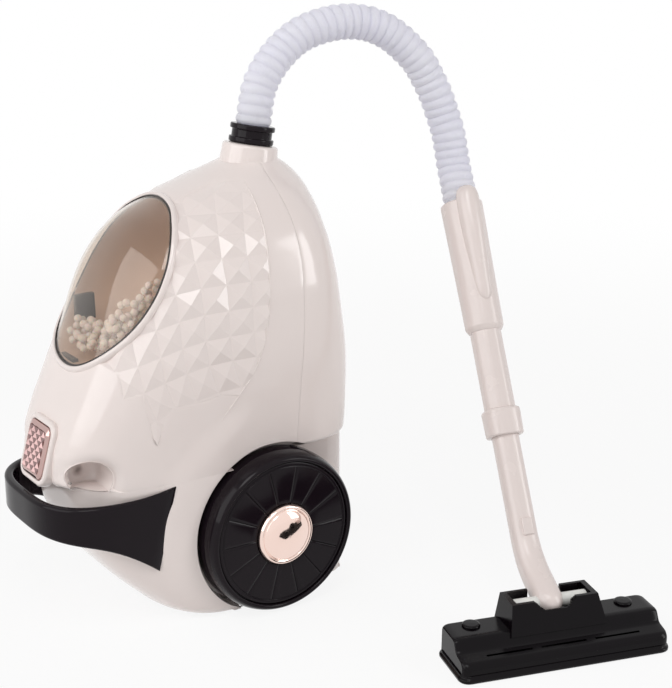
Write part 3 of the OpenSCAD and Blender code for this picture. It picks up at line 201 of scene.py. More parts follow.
CREAM = plastic("cream_plastic", (236, 224, 220), (239, 228, 224), 0.17, 0.25, 0.012, 260.0)
SATIN_CREAM = plastic("cream_satin", (230, 218, 214), (233, 221, 217), 0.24, 0.1, 0.015, 500.0)
BLACK = plastic("black_plastic", (22, 15, 21), (26, 19, 24), 0.1, 0.0, 0.012, 240.0, 0.14)
SATIN = plastic("black_satin", (8, 4, 8), (11, 7, 10), 0.18, 0.0, 0.05, 2200.0, 0.14)
# cream plastic made darker and browner: painted shade for the chamber's inside and its grille behind the
# window
SHADED_CREAM = plastic("cream_painted_shade", (206, 186, 172), (214, 194, 180), 0.45, 0.0, 0.03, 500.0)
SMOKE = plastic("smoke_edge", (30, 22, 18), (38, 29, 24), 0.2)
WHITE = plastic("white_plastic", (232, 232, 228), (240, 240, 236), 0.35)
ROSE = metal("rose_chrome", (245, 218, 207), (248, 224, 214), 0.06)
# darker copies of the rose chrome for the button's face and frame: painted shade
SHADED_KNURL = metal("rose_knurl_painted_shade", (146, 120, 119), (160, 134, 132), 0.16)
SHADED_FRAME = metal("rose_frame_painted_shade", (186, 156, 152), (198, 168, 163), 0.1)
STEEL = metal("steel", (176, 176, 180), (196, 196, 200), 0.3, (1.0, 1.0, 8.0))
JACKET = metal("cell_jacket", (60, 60, 66), (74, 74, 80), 0.35)
HOSE = make_hose_material()
SMOKED = make_window_material()
FOAM = make_bead_material()

# Material, body and slot of the larger groups of pieces
SHELL = (CREAM, "canister", "cream_plastic")
CLIPS = (SMOKE, "canister", "black_plastic")
GRIP = (SATIN_CREAM, "hose_and_grip", "cream_plastic")
TUBE = (SATIN_CREAM, "wand_tube", "cream_plastic")
HEAD = (SATIN, "floor_head", "black_satin")


# Mesh helpers
def unit(v):
    v = np.asarray(v, float)
    return v / np.maximum(np.linalg.norm(v, axis=-1, keepdims=True), 1e-12)


def dress(piece, material, body, slot, replaces=(), smooth=True):
    mesh = piece.data
    mesh.materials.clear()
    mesh.materials.append(material)
    mesh.polygons.foreach_set("use_smooth", [smooth] * len(mesh.polygons))
    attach(piece, body)
    if replaces:
        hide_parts(*replaces)
    return piece


def add(name, verts, faces, *look, normals=None, smooth=True):
    """A new piece; its look is the material, body, slot and the nodes it replaces. The slot is not used."""
    mesh = bpy.data.meshes.new(name)
    mesh.from_pydata((np.asarray(verts, float) * MM).tolist(), [], [list(map(int, f)) for f in faces])
    piece = dress(link(name, mesh), *look, smooth=smooth)
    if normals is not None:
        mesh.normals_split_custom_set_from_vertices(np.asarray(normals, float).tolist())
    mesh.update()
    return piece


def weigh(piece):
    """Shading that follows the larger faces."""
    piece.modifiers.new("weighted", "WEIGHTED_NORMAL")
    return piece


def soften(piece, width, segments=3, angle=35):
    bevel = piece.modifiers.new("bevel", "BEVEL")
    bevel.width = width * MM
    bevel.segments = segments
    bevel.limit_method = "ANGLE"
    bevel.angle_limit = radians(angle)
    return weigh(piece)


def fillet(points, radius, steps=4, closed=False):
    """Rounds the corners of a polyline; radius is one number or one for each corner."""
    points = [np.asarray(p, float) for p in points]
    count = len(points)
    radii = [radius] * count if np.isscalar(radius) else list(radius)
    out = []
    for i, p in enumerate(points):
        if not closed and i in (0, count - 1):
            out.append(p)
            continue
        a, b = points[i - 1], points[(i + 1) % count]
        reach = min(radii[i], 0.45 * np.linalg.norm(a - p), 0.45 * np.linalg.norm(b - p))
        if reach < 1e-6:
            out.append(p)
            continue
        s, e = p + unit(a - p) * reach, p + unit(b - p) * reach
        for k in range(steps + 1):
            t = k / steps
            out.append((1 - t) ** 2 * s + 2 * t * (1 - t) * p + t * t * e)
    return np.array(out)


def axes(axis):
    """Two directions across an axis, and the axis itself."""
    w = unit(axis)
    u = np.cross((0, 0, 1.0), w)
    if np.linalg.norm(u) < 1e-6:
        u = np.cross((1.0, 0, 0), w)
    u = unit(u)
    return u, np.cross(w, u), w


def at_height(ring, h):
    return np.column_stack([ring, np.full(len(ring), h)])


def circle(count):
    return np.linspace(0, 2 * pi, count, endpoint=False)


def around(turn, u, v):
    """Points of a unit circle in the plane of u and v."""
    return np.cos(turn)[:, None] * u + np.sin(turn)[:, None] * v


# which ends of a tube get a lid, and the end radius below which a turned piece gets one
BOTH, NEITHER, LAST = (True, True), (False, False), (False, True)
LID_R = 4


def ring_faces(rows, count, closed_rows=False, closed_count=True):
    faces = []
    last = rows if closed_rows else rows - 1
    width = count if closed_count else count - 1
    for k in range(last):
        for j in range(width):
            a, b = k * count + j, k * count + (j + 1) % count
            up = ((k + 1) % rows) * count
            faces.append((a, b, up + (j + 1) % count, up + j))
    return faces


def tube_faces(rows, count, lids=BOTH):
    """Faces between rings of points, with lids on the first and last where asked."""
    faces = ring_faces(rows, count)
    if lids[0]:
        faces.append(list(range(count))[::-1])
    if lids[1]:
        faces.append([(rows - 1) * count + j for j in range(count)])
    return faces


def skin(name, rows, *look, lids=NEITHER):
    """A piece over rings of points."""
    return add(name, np.concatenate(rows), tube_faces(len(rows), len(rows[0]), lids), *look)


def lathe(name, profile, origin, axis, *look, sides=96):
    """Turns a profile of (radius, height) points about an axis."""
    u, v, w = axes(axis)
    ring = around(circle(sides), u, v)
    rows = [np.asarray(origin, float) + r * ring + h * w for r, h in profile]
    return weigh(skin(name, rows, *look, lids=(profile[0][0] < LID_R, profile[-1][0] < LID_R)))


def sheet_of(grid, outward):
    """Triangles, points and smooth normals of a grid of points."""
    rows, count = grid.shape[:2]
    normal = unit(np.cross(np.gradient(grid, axis=0), np.gradient(grid, axis=1)))
    index = np.arange(rows * count).reshape(rows, count)
    a, b, c, d = index[:-1, :-1], index[:-1, 1:], index[1:, 1:], index[1:, :-1]
    tris = np.concatenate([np.stack([a, d, c], -1).reshape(-1, 3), np.stack([a, c, b], -1).reshape(-1, 3)])
    points, normal = grid.reshape(-1, 3), normal.reshape(-1, 3)
    if np.sum(normal * outward(points)) < 0:
        normal = -normal
        tris = tris[:, ::-1]
    return points, normal, tris


def clip(sheet, keep):
    """Keeps the part of a sheet where keep is positive; also returns the edges along the cut."""
    points, normal, tris = sheet
    count = len(points)
    inside = keep(points) > 0
    kept = inside[tris].sum(1)
    part = tris[(kept == 1) | (kept == 2)]
    pairs = np.concatenate([part[:, [0, 1]], part[:, [1, 2]], part[:, [2, 0]]])
    pairs = np.sort(pairs[inside[pairs[:, 0]] != inside[pairs[:, 1]]], axis=1)
    keys = np.unique(pairs[:, 0].astype(np.int64) * count + pairs[:, 1])
    a, b = keys // count, keys % count
    low, high = np.zeros(len(keys)), np.ones(len(keys))
    for _ in range(20):
        mid = (low + high) / 2
        same = (keep(points[a] * (1 - mid)[:, None] + points[b] * mid[:, None]) > 0) == inside[a]
        low, high = np.where(same, mid, low), np.where(same, high, mid)
    new_points = points[a] * (1 - low)[:, None] + points[b] * low[:, None]
    new_normal = unit(normal[a] * (1 - low)[:, None] + normal[b] * low[:, None])

    def cut(i, j):
        return count + np.searchsorted(keys, np.minimum(i, j).astype(np.int64) * count + np.maximum(i, j))

    def turned(rows, mark):
        first = np.argmax(mark, axis=1)
        return np.take_along_axis(rows, (first[:, None] + np.arange(3)) % 3, axis=1).T
    one = tris[kept == 1]
    a1, b1, c1 = turned(one, inside[one])
    two = tris[kept == 2]
    a2, b2, c2 = turned(two, ~inside[two])
    ab1, ac1, ab2, ac2 = cut(a1, b1), cut(a1, c1), cut(a2, b2), cut(a2, c2)
    out = np.concatenate([tris[kept == 3], np.stack([a1, ab1, ac1], 1), np.stack([ab2, b2, c2], 1),
                          np.stack([ab2, c2, ac2], 1)])
    edges = np.concatenate([np.stack([ac1, ab1], 1), np.stack([ab2, ac2], 1)])
    return (np.concatenate([points, new_points]), np.concatenate([normal, new_normal]), out), edges


def lip(sheet, edges, keep, depth, ease=0.35):
    """A rounded wall that goes in from the edges of a cut."""
    points, normal, tris = sheet
    used, edges = np.unique(edges, return_inverse=True)
    edges = edges.reshape(-1, 2)
    p, n = points[used], normal[used]
    along = np.zeros_like(p)
    step = p[edges[:, 1]] - p[edges[:, 0]]
    np.add.at(along, edges[:, 0], step)
    np.add.at(along, edges[:, 1], step)
    side = unit(np.cross(unit(along), n))
    away = np.where(keep(p + 0.4 * side) > keep(p - 0.4 * side), -1.0, 1.0)[:, None]
    side = side * away
    rows = [(p, n)]
    for t in (0.33, 0.67, 1.0):
        q = t * pi / 2
        rows.append((p + ease * sin(q) * side - ease * (1 - cos(q)) * n,
                     unit(cos(q) * n + sin(q) * side)))
    rows.append((p + ease * side - depth * n, side))
    base, count = len(points), len(p)
    out = [tris]
    for k in range(len(rows) - 1):
        a, b = base + k * count + edges[:, 0], base + k * count + edges[:, 1]
        out += [np.stack([a, b, b + count], 1), np.stack([a, b + count, a + count], 1)]
    return (np.concatenate([points] + [r[0] for r in rows]), np.concatenate([normal] + [r[1] for r in rows]),
            np.concatenate(out))


def shown(name, sheet, *look):
    points, normal, tris = sheet
    used, tris = np.unique(tris, return_inverse=True)
    return add(name, points[used], tris.reshape(-1, 3), *look, normals=normal[used])


def mirrored(sheet):
    """A sheet together with its mirror image on the other side."""
    points, normal, tris = sheet
    flip = np.array([-1, 1, 1])
    return (np.concatenate([points, points * flip]), np.concatenate([normal, normal * flip]),
            np.concatenate([tris, tris[:, ::-1] + len(points)]))


def upward(points):
    return 0 * points + [0, 0, 1.0]


def downward(points):
    return 0 * points - [0, 0, 1.0]


# The canister's surface: superellipse sections, in front of the seam and behind it
def pchip(xs, ys):
    xs, ys = np.asarray(xs, float), np.asarray(ys, float)
    h, d = np.diff(xs), np.diff(ys) / np.diff(xs)
    m = np.zeros(len(xs))
    m[0], m[-1] = d[0], d[-1]
    for i in range(1, len(xs) - 1):
        if d[i - 1] * d[i] > 0:
            p, q = 2 * h[i] + h[i - 1], h[i] + 2 * h[i - 1]
            m[i] = (p + q) / (p / d[i - 1] + q / d[i])

    def value(x):
        x = np.clip(x, xs[0], xs[-1])
        i = np.clip(np.searchsorted(xs, x) - 1, 0, len(xs) - 2)
        t = (x - xs[i]) / h[i]
        return ((1 + 2 * t) * (1 - t) ** 2 * ys[i] + t * (1 - t) ** 2 * h[i] * m[i]
                + t * t * (3 - 2 * t) * ys[i + 1] + t * t * (t - 1) * h[i] * m[i + 1])
    return value


SEAM, NOSE, TOP, AXLE_Z = 16.0, 82.0, 232.0, 43.5
HALF_WIDTH, FRONT, REAR = 57, 132, 46
SKIRT_POWER = 4.0
SHELL_TOP, REAR_FOOT = 236.4, 86
# side of the seam, and points along a section
FRONT_SECTION, REAR_SECTION = (-1, 261), (1, 181)
# share of the height, then of the half width, front and rear, and the powers of the rear and front
UPPER = np.array([
    [0, 0.853, 0.975, 0.985, 3.2, 4.3], [0.107, 0.877, 0.96, 1, 3.2, 4.2], [0.207, 0.91, 0.922, 1, 3.1, 4],
    [0.307, 0.95, 0.87, 0.985, 3, 3.75], [0.407, 0.985, 0.818, 0.95, 2.85, 3.5],
    [0.507, 1, 0.761, 0.905, 2.7, 3.2], [0.6, 1, 0.718, 0.865, 2.6, 3], [0.687, 0.98, 0.676, 0.82, 2.5, 2.8],
    [0.76, 0.935, 0.63, 0.78, 2.4, 2.6], [0.82, 0.865, 0.578, 0.745, 2.3, 2.45],
    [0.867, 0.782, 0.521, 0.715, 2.25, 2.3], [0.907, 0.68, 0.448, 0.682, 2.2, 2.2],
    [0.94, 0.583, 0.378, 0.645, 2.15, 2.15], [0.973, 0.465, 0.28, 0.582, 2.1, 2.1],
    [1, 0.358, 0.193, 0.5, 2.05, 2.05], [1.03, 0.26, 0.09, 0.36, 2, 2]])
# share of the height, then of the half width and front
LOWER = np.array([
    [0, 0.83, 0.515], [0.05, 0.875, 0.575], [0.15, 0.895, 0.645], [0.27, 0.9, 0.72], [0.42, 0.895, 0.797],
    [0.58, 0.885, 0.855], [0.78, 0.87, 0.902], [1, 0.853, 0.914]])
heights = NOSE + (TOP - NOSE) * UPPER[:, 0]
half_width = pchip(heights, HALF_WIDTH * UPPER[:, 1])
front_depth = pchip(heights, FRONT * UPPER[:, 2])
rear_depth = pchip(heights, REAR * UPPER[:, 3])
rear_power = pchip(heights, UPPER[:, 4])
front_power = pchip(heights, UPPER[:, 5])
low_width = pchip(NOSE * LOWER[:, 0], HALF_WIDTH * LOWER[:, 1])
low_front = pchip(NOSE * LOWER[:, 0], FRONT * LOWER[:, 2])


def section(w, d, n, side, count):
    t = np.linspace(0, pi, 1801)
    x = w * np.sign(np.cos(t)) * np.abs(np.cos(t)) ** (2 / n)
    y = SEAM + side * d * np.abs(np.sin(t)) ** (2 / n)
    s = np.concatenate([[0], np.cumsum(np.hypot(np.diff(x), np.diff(y)))])
    at = np.linspace(0, s[-1], count)
    return np.stack([np.interp(at, s, x), np.interp(at, s, y)], 1)


def loft(zs, w, d, n, side, count):
    rows = []
    for z in zs:
        ring = section(float(w(z)), float(d(z)), float(n(z)), side, count)
        rows.append(at_height(ring, z))
    return np.array(rows)


def arc(v, reach, n):
    """Height of a unit superellipse at v."""
    return np.maximum(0, 1 - np.minimum(1, np.abs(v) / reach) ** n) ** (1 / n)


def front_y(x, z):
    return SEAM - front_depth(z) * arc(x, half_width(z), front_power(z))


def side_x(y, z):
    return half_width(z) * arc(y - SEAM, front_depth(z), front_power(z))


def skirt_x(y):
    """Half width of the lower body's top edge at a depth y."""
    return low_width(NOSE) * arc(SEAM - y, low_front(NOSE), SKIRT_POWER)


def slopes(height, a, z, step=0.8):
    return [(height(a + p, z + q) - height(a - p, z - q)) / (2 * step) for p, q in ((step, 0), (0, step))]


def front_point(x, z, rise):
    gx, gz = slopes(front_y, x, z)
    normal = unit(np.stack([gx, -np.ones_like(gx), gz], -1))
    return np.stack([x, front_y(x, z), z], -1) + np.asarray(rise)[..., None] * normal


def side_point(y, z, rise):
    gy, gz = slopes(side_x, y, z)
    normal = unit(np.stack([np.ones_like(gy), -gy, -gz], -1))
    return np.stack([side_x(y, z), y, z], -1) + np.asarray(rise)[..., None] * normal


def smooth_step(a, b, v):
    t = np.clip((v - a) / (b - a), 0, 1)
    return t * t * (3 - 2 * t)


def out_from_middle(points):
    return points - np.array([0, SEAM - 10, 120.0])


WINDOW_Z, WINDOW_R, WINDOW_CUT = 181.0, 40.0, 0.9
ARCH_R, ARCH_X = 48.3, 30
SCOOP_Y, SCOOP_Z, SCOOP_R, SCOOP_X = -99.0, 89.0, 10.0, 19
NECK_LEAN, NECK_R, NECK_LOW = radians(10), 12.9, 215
NECK_AXIS = np.array([0, sin(NECK_LEAN), cos(NECK_LEAN)])
NECK_FOOT = np.array([0, 17.5, 232.0])
BUTTON_LEAN = radians(16)
BUTTON_OUT = np.array([0, -cos(BUTTON_LEAN), sin(BUTTON_LEAN)])
BUTTON_UP = np.array([0, sin(BUTTON_LEAN), cos(BUTTON_LEAN)])
BUTTON_Z = 97.0
BEZEL_Y, BEZEL_CUT = -80, (30.8, 34.8, 7.0)
BUTTON_AT = np.array([0, float(front_y(np.array(0.0), np.array(BUTTON_Z))), BUTTON_Z]) + 1.2 * BUTTON_OUT
# what a cut gives where it doesn't reach
FAR = 50.0


# Each cut is positive where the surface stays
def window_keep(p):
    return np.hypot(p[:, 0], p[:, 2] - WINDOW_Z) / (WINDOW_R + WINDOW_CUT) - 1


def arch_keep(p):
    return np.where(np.abs(p[:, 0]) > ARCH_X, np.hypot(p[:, 1], p[:, 2] - AXLE_Z) - ARCH_R, FAR)


def scoop_keep(p):
    return np.where(np.abs(p[:, 0]) > SCOOP_X, np.hypot(p[:, 1] - SCOOP_Y, p[:, 2] - SCOOP_Z) - SCOOP_R, FAR)


def neck_keep(p):
    q = p - NECK_FOOT
    reach = np.linalg.norm(q - (q @ NECK_AXIS)[:, None] * NECK_AXIS, axis=1)
    return np.where(p[:, 2] > NECK_LOW, reach - NECK_R, FAR)


def rounded_rect(x, y, w, h, r):
    qx, qy = np.abs(x) - (w / 2 - r), np.abs(y) - (h / 2 - r)
    return np.hypot(np.maximum(qx, 0), np.maximum(qy, 0)) + np.minimum(np.maximum(qx, qy), 0) - r


def bezel_keep(p):
    up = (p - BUTTON_AT) @ BUTTON_UP
    return np.where(p[:, 1] < BEZEL_Y, rounded_rect(p[:, 0], up, *BEZEL_CUT), FAR)


# Outline of the faceted zone, seen from the side, as (y, z)
ZONE = np.array([
    (1.6, 229), (0.5, 224), (-1.3, 210), (-3.4, 193.7), (-4.7, 173.5), (-8, 152.6), (-13.5, 137),
    (-22.5, 124), (-33.2, 127.1), (-39.7, 124.6), (-45, 124.8), (-60.1, 124.8), (-63, 120), (-68.6, 104.2),
    (-71.3, 117), (-73, 124), (-74.3, 133.5), (-83.0, 131.4), (-83.4, 143.6), (-96, 152), (-96, 200),
    (-60, 229)])


def zone(p):
    y, z = p[:, 1], p[:, 2]
    a, b = ZONE, np.roll(ZONE, -1, axis=0)
    best = np.full(len(p), 1e9)
    inside = np.zeros(len(p), bool)
    for s, e in zip(a, b):
        d = e - s
        t = np.clip(((y - s[0]) * d[0] + (z - s[1]) * d[1]) / (d @ d), 0, 1)
        best = np.minimum(best, np.hypot(y - s[0] - t * d[0], z - s[1] - t * d[1]))
        crosses = (s[1] > z) != (e[1] > z)
        slope = (e[0] - s[0]) / (e[1] - s[1]) if e[1] != s[1] else 0
        inside ^= crosses & (y < s[0] + (z - s[1]) * slope)
    return np.where(inside, best, -best)


def fender(grid):
    """The shell swells outwards around the wheel."""
    reach = np.hypot(grid[..., 1], grid[..., 2] - AXLE_Z)
    swell, near, far = 1.7, 62, 78
    rise = swell * (1 - smooth_step(near, far, reach)) * smooth_step(30, 40, np.abs(grid[..., 0]))
    rise = rise * smooth_step(6, 34, -grid[..., 1])
    grid[..., 0] += np.sign(grid[..., 0]) * rise
    return grid


def roll_in(grid, keep, start, depth):
    """The surface curls inwards as it comes near a cut."""
    flat = grid.reshape(-1, 3)
    normal = sheet_of(grid, out_from_middle)[1]
    near = 1 - np.clip(keep(flat) / start, 0, 1)
    return (flat - (depth * near ** 2)[:, None] * normal).reshape(grid.shape)


def cut_all(sheet, cuts):
    for keep, depth in cuts:
        sheet, edges = clip(sheet, keep)
        if depth and len(edges):
            sheet = lip(sheet, edges, keep, depth)
    return sheet


def rounded_foot(foot, radius, steps, count, depth):
    """Heights from a rounded lower edge to the neck, and how far the edge pulls in at each."""
    low = foot + radius * (1 - np.cos(np.linspace(0, pi / 2, steps)[:-1]))
    zs = np.concatenate([low, np.linspace(foot + radius, SHELL_TOP, count)])
    inset = depth * (1 - np.sqrt(1 - np.clip((foot + radius - zs) / radius, 0, 1) ** 2))
    return zs, inset[:, None, None]


def from_seam(grid):
    return unit(grid * [1, 1, 0] - [0, SEAM, 0])


def mark_seam(grid, side):
    """A fine groove where the front and rear meet."""
    near = np.clip(1 - side * (grid[..., 1] - SEAM) / 1.2, 0, 1)
    grid[..., 0] -= np.sign(grid[..., 0]) * 0.12 * near ** 2


def make_front_shell():
    zs, inset = rounded_foot(NOSE, radius=4, steps=7, count=122, depth=3.2)
    grid = loft(zs, half_width, front_depth, front_power, *FRONT_SECTION)
    grid = grid - inset * from_seam(grid) * smooth_step(98, 112, SEAM - grid[..., 1:2])
    grid = roll_in(fender(grid), scoop_keep, start=6.0, depth=2.6)
    mark_seam(grid, -1)
    bottom = grid[0].copy()
    # the surface dips behind the facets
    sunk = 1.3
    normal = sheet_of(grid, out_from_middle)[1].reshape(grid.shape)
    dip = smooth_step(0.1, 2.0, zone(grid.reshape(-1, 3))).reshape(grid.shape[:2])
    dip *= smooth_step(13.5, 16, np.abs(grid[..., 0]))
    sheet = cut_all(sheet_of(grid - sunk * dip[..., None] * normal, out_from_middle), [
        (window_keep, 0), (arch_keep, 5.0), (scoop_keep, 3.0), (neck_keep, 2.0), (bezel_keep, 2.0)])
    shown("front_shell_skin", sheet, *SHELL, ["front_shell"])
    return bottom


def make_skirt(nose_ring):
    zs = np.concatenate([[0, 0.8, 2, 4], np.linspace(6.5, 81.98, 60)])
    grid = loft(zs, low_width, low_front, lambda z: SKIRT_POWER, *FRONT_SECTION)
    # behind the finger scoop the side runs on from the shell above without a step
    step = side_x(grid[..., 1], np.full(grid.shape[:2], NOSE)) - skirt_x(grid[..., 1])
    step *= smooth_step(50, 82, grid[..., 2]) * smooth_step(-95, -86, grid[..., 1])
    grid[..., 0] += np.sign(grid[..., 0]) * step * smooth_step(8, 20, np.abs(grid[..., 0]))
    grid = fender(grid)
    mark_seam(grid, -1)
    sheet = cut_all(sheet_of(grid, lambda p: p - [0, 0, 40.0]), [(arch_keep, 5.0)])
    shown("front_skirt_skin", sheet, *SHELL, ["front_skirt"])
    # underside of the nose
    steps = np.linspace(0, 1, 16)[:, None, None]
    inner = grid[-1].copy()
    inner[:, 2] = NOSE
    under = nose_ring * (1 - steps) + inner * steps
    shown("nose_underside", cut_all(sheet_of(under, downward), [(scoop_keep, 2.0), (arch_keep, 0)]), *SHELL)
    # lid that closes the skirt's top
    ease = np.array([0, 0.03, 0.08, 1.0])[:, None, None]
    lid = grid[-1] + ease * ([0, -30.0, 0] - grid[-1] * [1, 1, 0])
    lid[1:, :, 2] = NOSE + 0.2
    shown("front_skirt_lid", sheet_of(lid, upward), *SHELL)
    # bottom edge turned in
    turned = np.array([grid[0], grid[0] * [0.97, 0.965, 1] + [0, 0.5, 0]])
    shown("front_skirt_edge", sheet_of(turned, downward), *SHELL)


def make_rear_shell():
    zs, inset = rounded_foot(REAR_FOOT, radius=2.5, steps=6, count=120, depth=1.6)
    grid = loft(zs, half_width, rear_depth, rear_power, *REAR_SECTION)
    grid = grid - inset * from_seam(grid)
    grid[..., 1] += 0.07
    mark_seam(grid, 1)
    sheet = cut_all(sheet_of(grid, out_from_middle), [(neck_keep, 2.0), (arch_keep, 3.0)])
    shown("rear_shell_skin", sheet, *SHELL, ["rear_shell"])
    inner = (grid[0] - [0, SEAM, 0]) * [0.9, 0.9, 1] + [0, SEAM, 0]
    shown("rear_shell_edge", sheet_of(np.array([grid[0], inner]), downward), *SHELL)


def make_facets():
    """Four-sided pyramids cut into the shell's sides."""
    columns = [12, -1.0, -14.3, -27.8, -41.0, -53.3, -64.3, -74.8, -84.6, -93.5]
    rows = [233, 225, 217, 208, 197, 184.3, 171, 157.6, 144.4, 129, 112, 97]
    sunk, raised, lowest = 0.85, 0.9, 84

    def corner(y, z):
        # columns curve back at the top and the foot, and rows drop towards the nose
        back = 0.0125 * np.maximum(0, z - 195) ** 2 + 0.0085 * np.maximum(0, 157 - z) ** 2
        drop = 0.37 * 6 * np.log1p(np.exp((-46 - y) / 6))
        y, z = y + back, z - drop
        return np.maximum(y, SEAM - 0.998 * front_depth(z)), z, np.abs(y - SEAM) > front_depth(z)
    points = []
    for high, low in zip(rows, rows[1:]):
        for rear, front in zip(columns, columns[1:]):
            ys, zs = np.array([rear, front, front, rear]), np.array([high, high, low, low])
            y, z, past = corner(ys, zs)
            if np.any(z < lowest) or np.all(past):
                continue
            fade = 1 - 0.5 * smooth_step(208, 226, z)
            inside = zone(np.stack([0 * y, y, z], -1))
            rim = side_point(y, z, -sunk * fade * smooth_step(1, 9, inside))
            y, z, past = corner(ys.mean(keepdims=True), zs.mean(keepdims=True))
            peak = side_point(y, z, raised * fade[:1])
            # every facet has its own corners, so that it shades flat
            for k in range(4):
                points += [rim[k], rim[(k + 1) % 4], peak[0]]
    points = np.array(points)
    tris = np.arange(len(points)).reshape(-1, 3)
    normal = unit(np.cross(points[1::3] - points[::3], points[2::3] - points[::3]))
    flip = normal[:, 0] < 0
    tris[flip] = tris[flip][:, ::-1]
    normal[flip] *= -1
    sheet = cut_all((points, np.repeat(normal, 3, axis=0), tris), [
        (zone, 0.5), (window_keep, 2.0), (lambda p: np.abs(p[:, 0]) - 13, 0.5)])
    shown("front_shell_facets", mirrored(sheet), *SHELL)


def make_crease():
    """Fine ridge that closes the faceted zone at the rear."""
    low, high, radius = 110, 229, 0.42
    z = np.linspace(low, high, 120)
    line = pchip([106, 112, 124, 137, 152.6, 173.5, 193.7, 210, 229.5],
                 [-37, -32, -22.5, -13.5, -8, -4.7, -3.4, -1.3, 1.6])
    middle = side_point(line(z), z, 0.05)
    heading = unit(np.gradient(middle, axis=0))
    out = unit(np.cross(heading, np.cross(np.array([1.0, 0, 0.2]), heading)))
    across = np.cross(out, heading)
    turn = np.linspace(0, 2 * pi, 9)
    thick = radius * np.sqrt(smooth_step(0, 14, z - low) * smooth_step(0, 10, high - z))[:, None, None]
    grid = middle[:, None] + thick * around(turn, across[:, None], out[:, None])
    sheet = sheet_of(grid, lambda p: p - np.repeat(middle, len(turn), axis=0))
    shown("front_shell_crease", mirrored(sheet), *SHELL)


def make_scoops():
    """Smooth finger hollows in the nose's sides."""
    radius, floor, mouth, ease = SCOOP_R + 0.3, NOSE + 0.5, 24.0, 5.0
    turn = np.linspace(0, 2 * pi, 97)

    def ring(x, r):
        z = np.maximum(SCOOP_Z + r * np.sin(turn), floor)
        return np.stack([x + 0 * turn, SCOOP_Y + r * np.cos(turn), z], -1)
    y, z = SCOOP_Y + radius * np.cos(turn), SCOOP_Z + radius * np.sin(turn)
    outer = side_x(y, np.maximum(z, NOSE)) - 2.2
    rows = [ring(np.where(z < NOSE, np.clip(skirt_x(y) + 1.0, mouth + 0.5, outer), outer), radius)]
    for t in np.linspace(0, pi / 2, 9):
        rows.append(ring(mouth - ease * sin(t), radius - ease * (1 - cos(t))))
    rows.append(ring(mouth - ease, 0))
    sheet = sheet_of(np.array(rows), lambda p: [40.0, SCOOP_Y, SCOOP_Z] - p)
    shown("finger_scoop_liners", mirrored(sheet), *SHELL, ["finger_scoops"])


nose_ring = make_front_shell()
make_scoops()
make_skirt(nose_ring)
make_rear_shell()
make_facets()
make_crease()


# Window, chamber and beads
def window_place(r, turn, rise):
    """Points around the window's middle, lifted off the shell's surface."""
    return front_point(r * np.cos(turn), WINDOW_Z + r * np.sin(turn), rise)


def window_ring(name, rows, *look, count=180):
    """Rows of (growth, rise), with the growth measured along the surface."""
    turn = circle(count)
    radii = (WINDOW_R - 1, WINDOW_R + 1)
    near, far = [front_y(r * np.cos(turn), WINDOW_Z + r * np.sin(turn)) for r in radii]
    share = 1 / np.hypot(1, (far - near) / 2)
    grid = [window_place(WINDOW_R + grow * share, turn, rise) for grow, rise in rows]
    weigh(skin(name, grid, *look))


rim_rows = fillet([(0.9, -2.2), (0.9, 1.0), (1.5, 1.7), (3.0, 1.5), (4.0, 0.1), (4.2, -1.7)],
                  [0, 0.6, 0.8, 1.0, 0.5, 0], 5)
window_ring("window_rim_ring", rim_rows, *SHELL, ["window_rim"])
edge_rows = fillet([(-0.1, -1.6), (-0.1, 0.9), (0.95, 0.9), (0.95, -1.6)], 0.3, 3)
window_ring("window_edge", edge_rows, SMOKE, "canister", "smoked_window")


def make_dome():
    count, rows, bulge, wall = 144, 26, 3.0, 1.2
    turn = circle(count)
    shares = [sin(pi / 2 * k / rows) for k in range(rows, 0, -1)]
    verts = []
    for depth, order in ((0, shares), (wall, shares[::-1])):
        for s in order:
            verts.append(window_place((WINDOW_R - 0.05) * s, turn, bulge * (1 - s * s) + 0.5 - depth))
    # the two walls are closed in the middle and joined at the rim
    mid = (rows - 1) * count
    faces = [f for f in ring_faces(2 * rows, count, closed_rows=True)
             if not (min(f) >= mid and max(f) < mid + 2 * count)]
    faces.append([mid + j for j in range(count)])
    faces.append([mid + count + j for j in range(count)][::-1])
    add("window_dome_glass", np.concatenate(verts), faces, SMOKED, "canister", "smoked_window",
        ["window_dome"])


def make_chamber():
    count, rows, back, mouth, sunk, sweep = 120, 22, -8, 39.6, 1.1, 72
    edge = window_place(mouth, circle(count), -sunk)
    middle = np.array([0, back, WINDOW_Z])
    verts = []
    for k in range(rows):
        phi = radians(sweep * k / (rows - 1))
        verts.append(middle + (edge - middle) * [cos(phi), 1 - sin(phi), cos(phi)])
    # the bowl takes the darker cream, painted shade of the chamber
    skin("bead_chamber_bowl", verts, SHADED_CREAM, "canister", "cream_plastic", ["bead_chamber"])


def box(name, middle, half, *look, ease=0.5):
    verts = np.array([(x, y, z) for x in (-1, 1) for y in (-1, 1) for z in (-1, 1)], float) * half + middle
    faces = [(0, 1, 3, 2), (4, 6, 7, 5), (0, 4, 5, 1), (2, 3, 7, 6), (0, 2, 6, 4), (1, 5, 7, 3)]
    return soften(add(name, verts, faces, *look), ease)


def ball(rings=7, sides=12):
    tilt = pi * np.arange(1, rings) / rings
    turn = circle(sides)
    verts = np.stack([np.outer(np.sin(tilt), np.cos(turn)), np.outer(np.sin(tilt), np.sin(turn)),
                      np.outer(np.cos(tilt), np.ones(sides))], -1).reshape(-1, 3)
    count = len(verts)
    faces = [(a, d, c, b) for a, b, c, d in ring_faces(rings - 1, sides)]
    for j in range(sides):
        k = (j + 1) % sides
        faces += [(count, j, k), (count - sides + k, count - sides + j, count + 1)]
    return np.concatenate([verts, [(0, 0, 1), (0, 0, -1)]]), faces


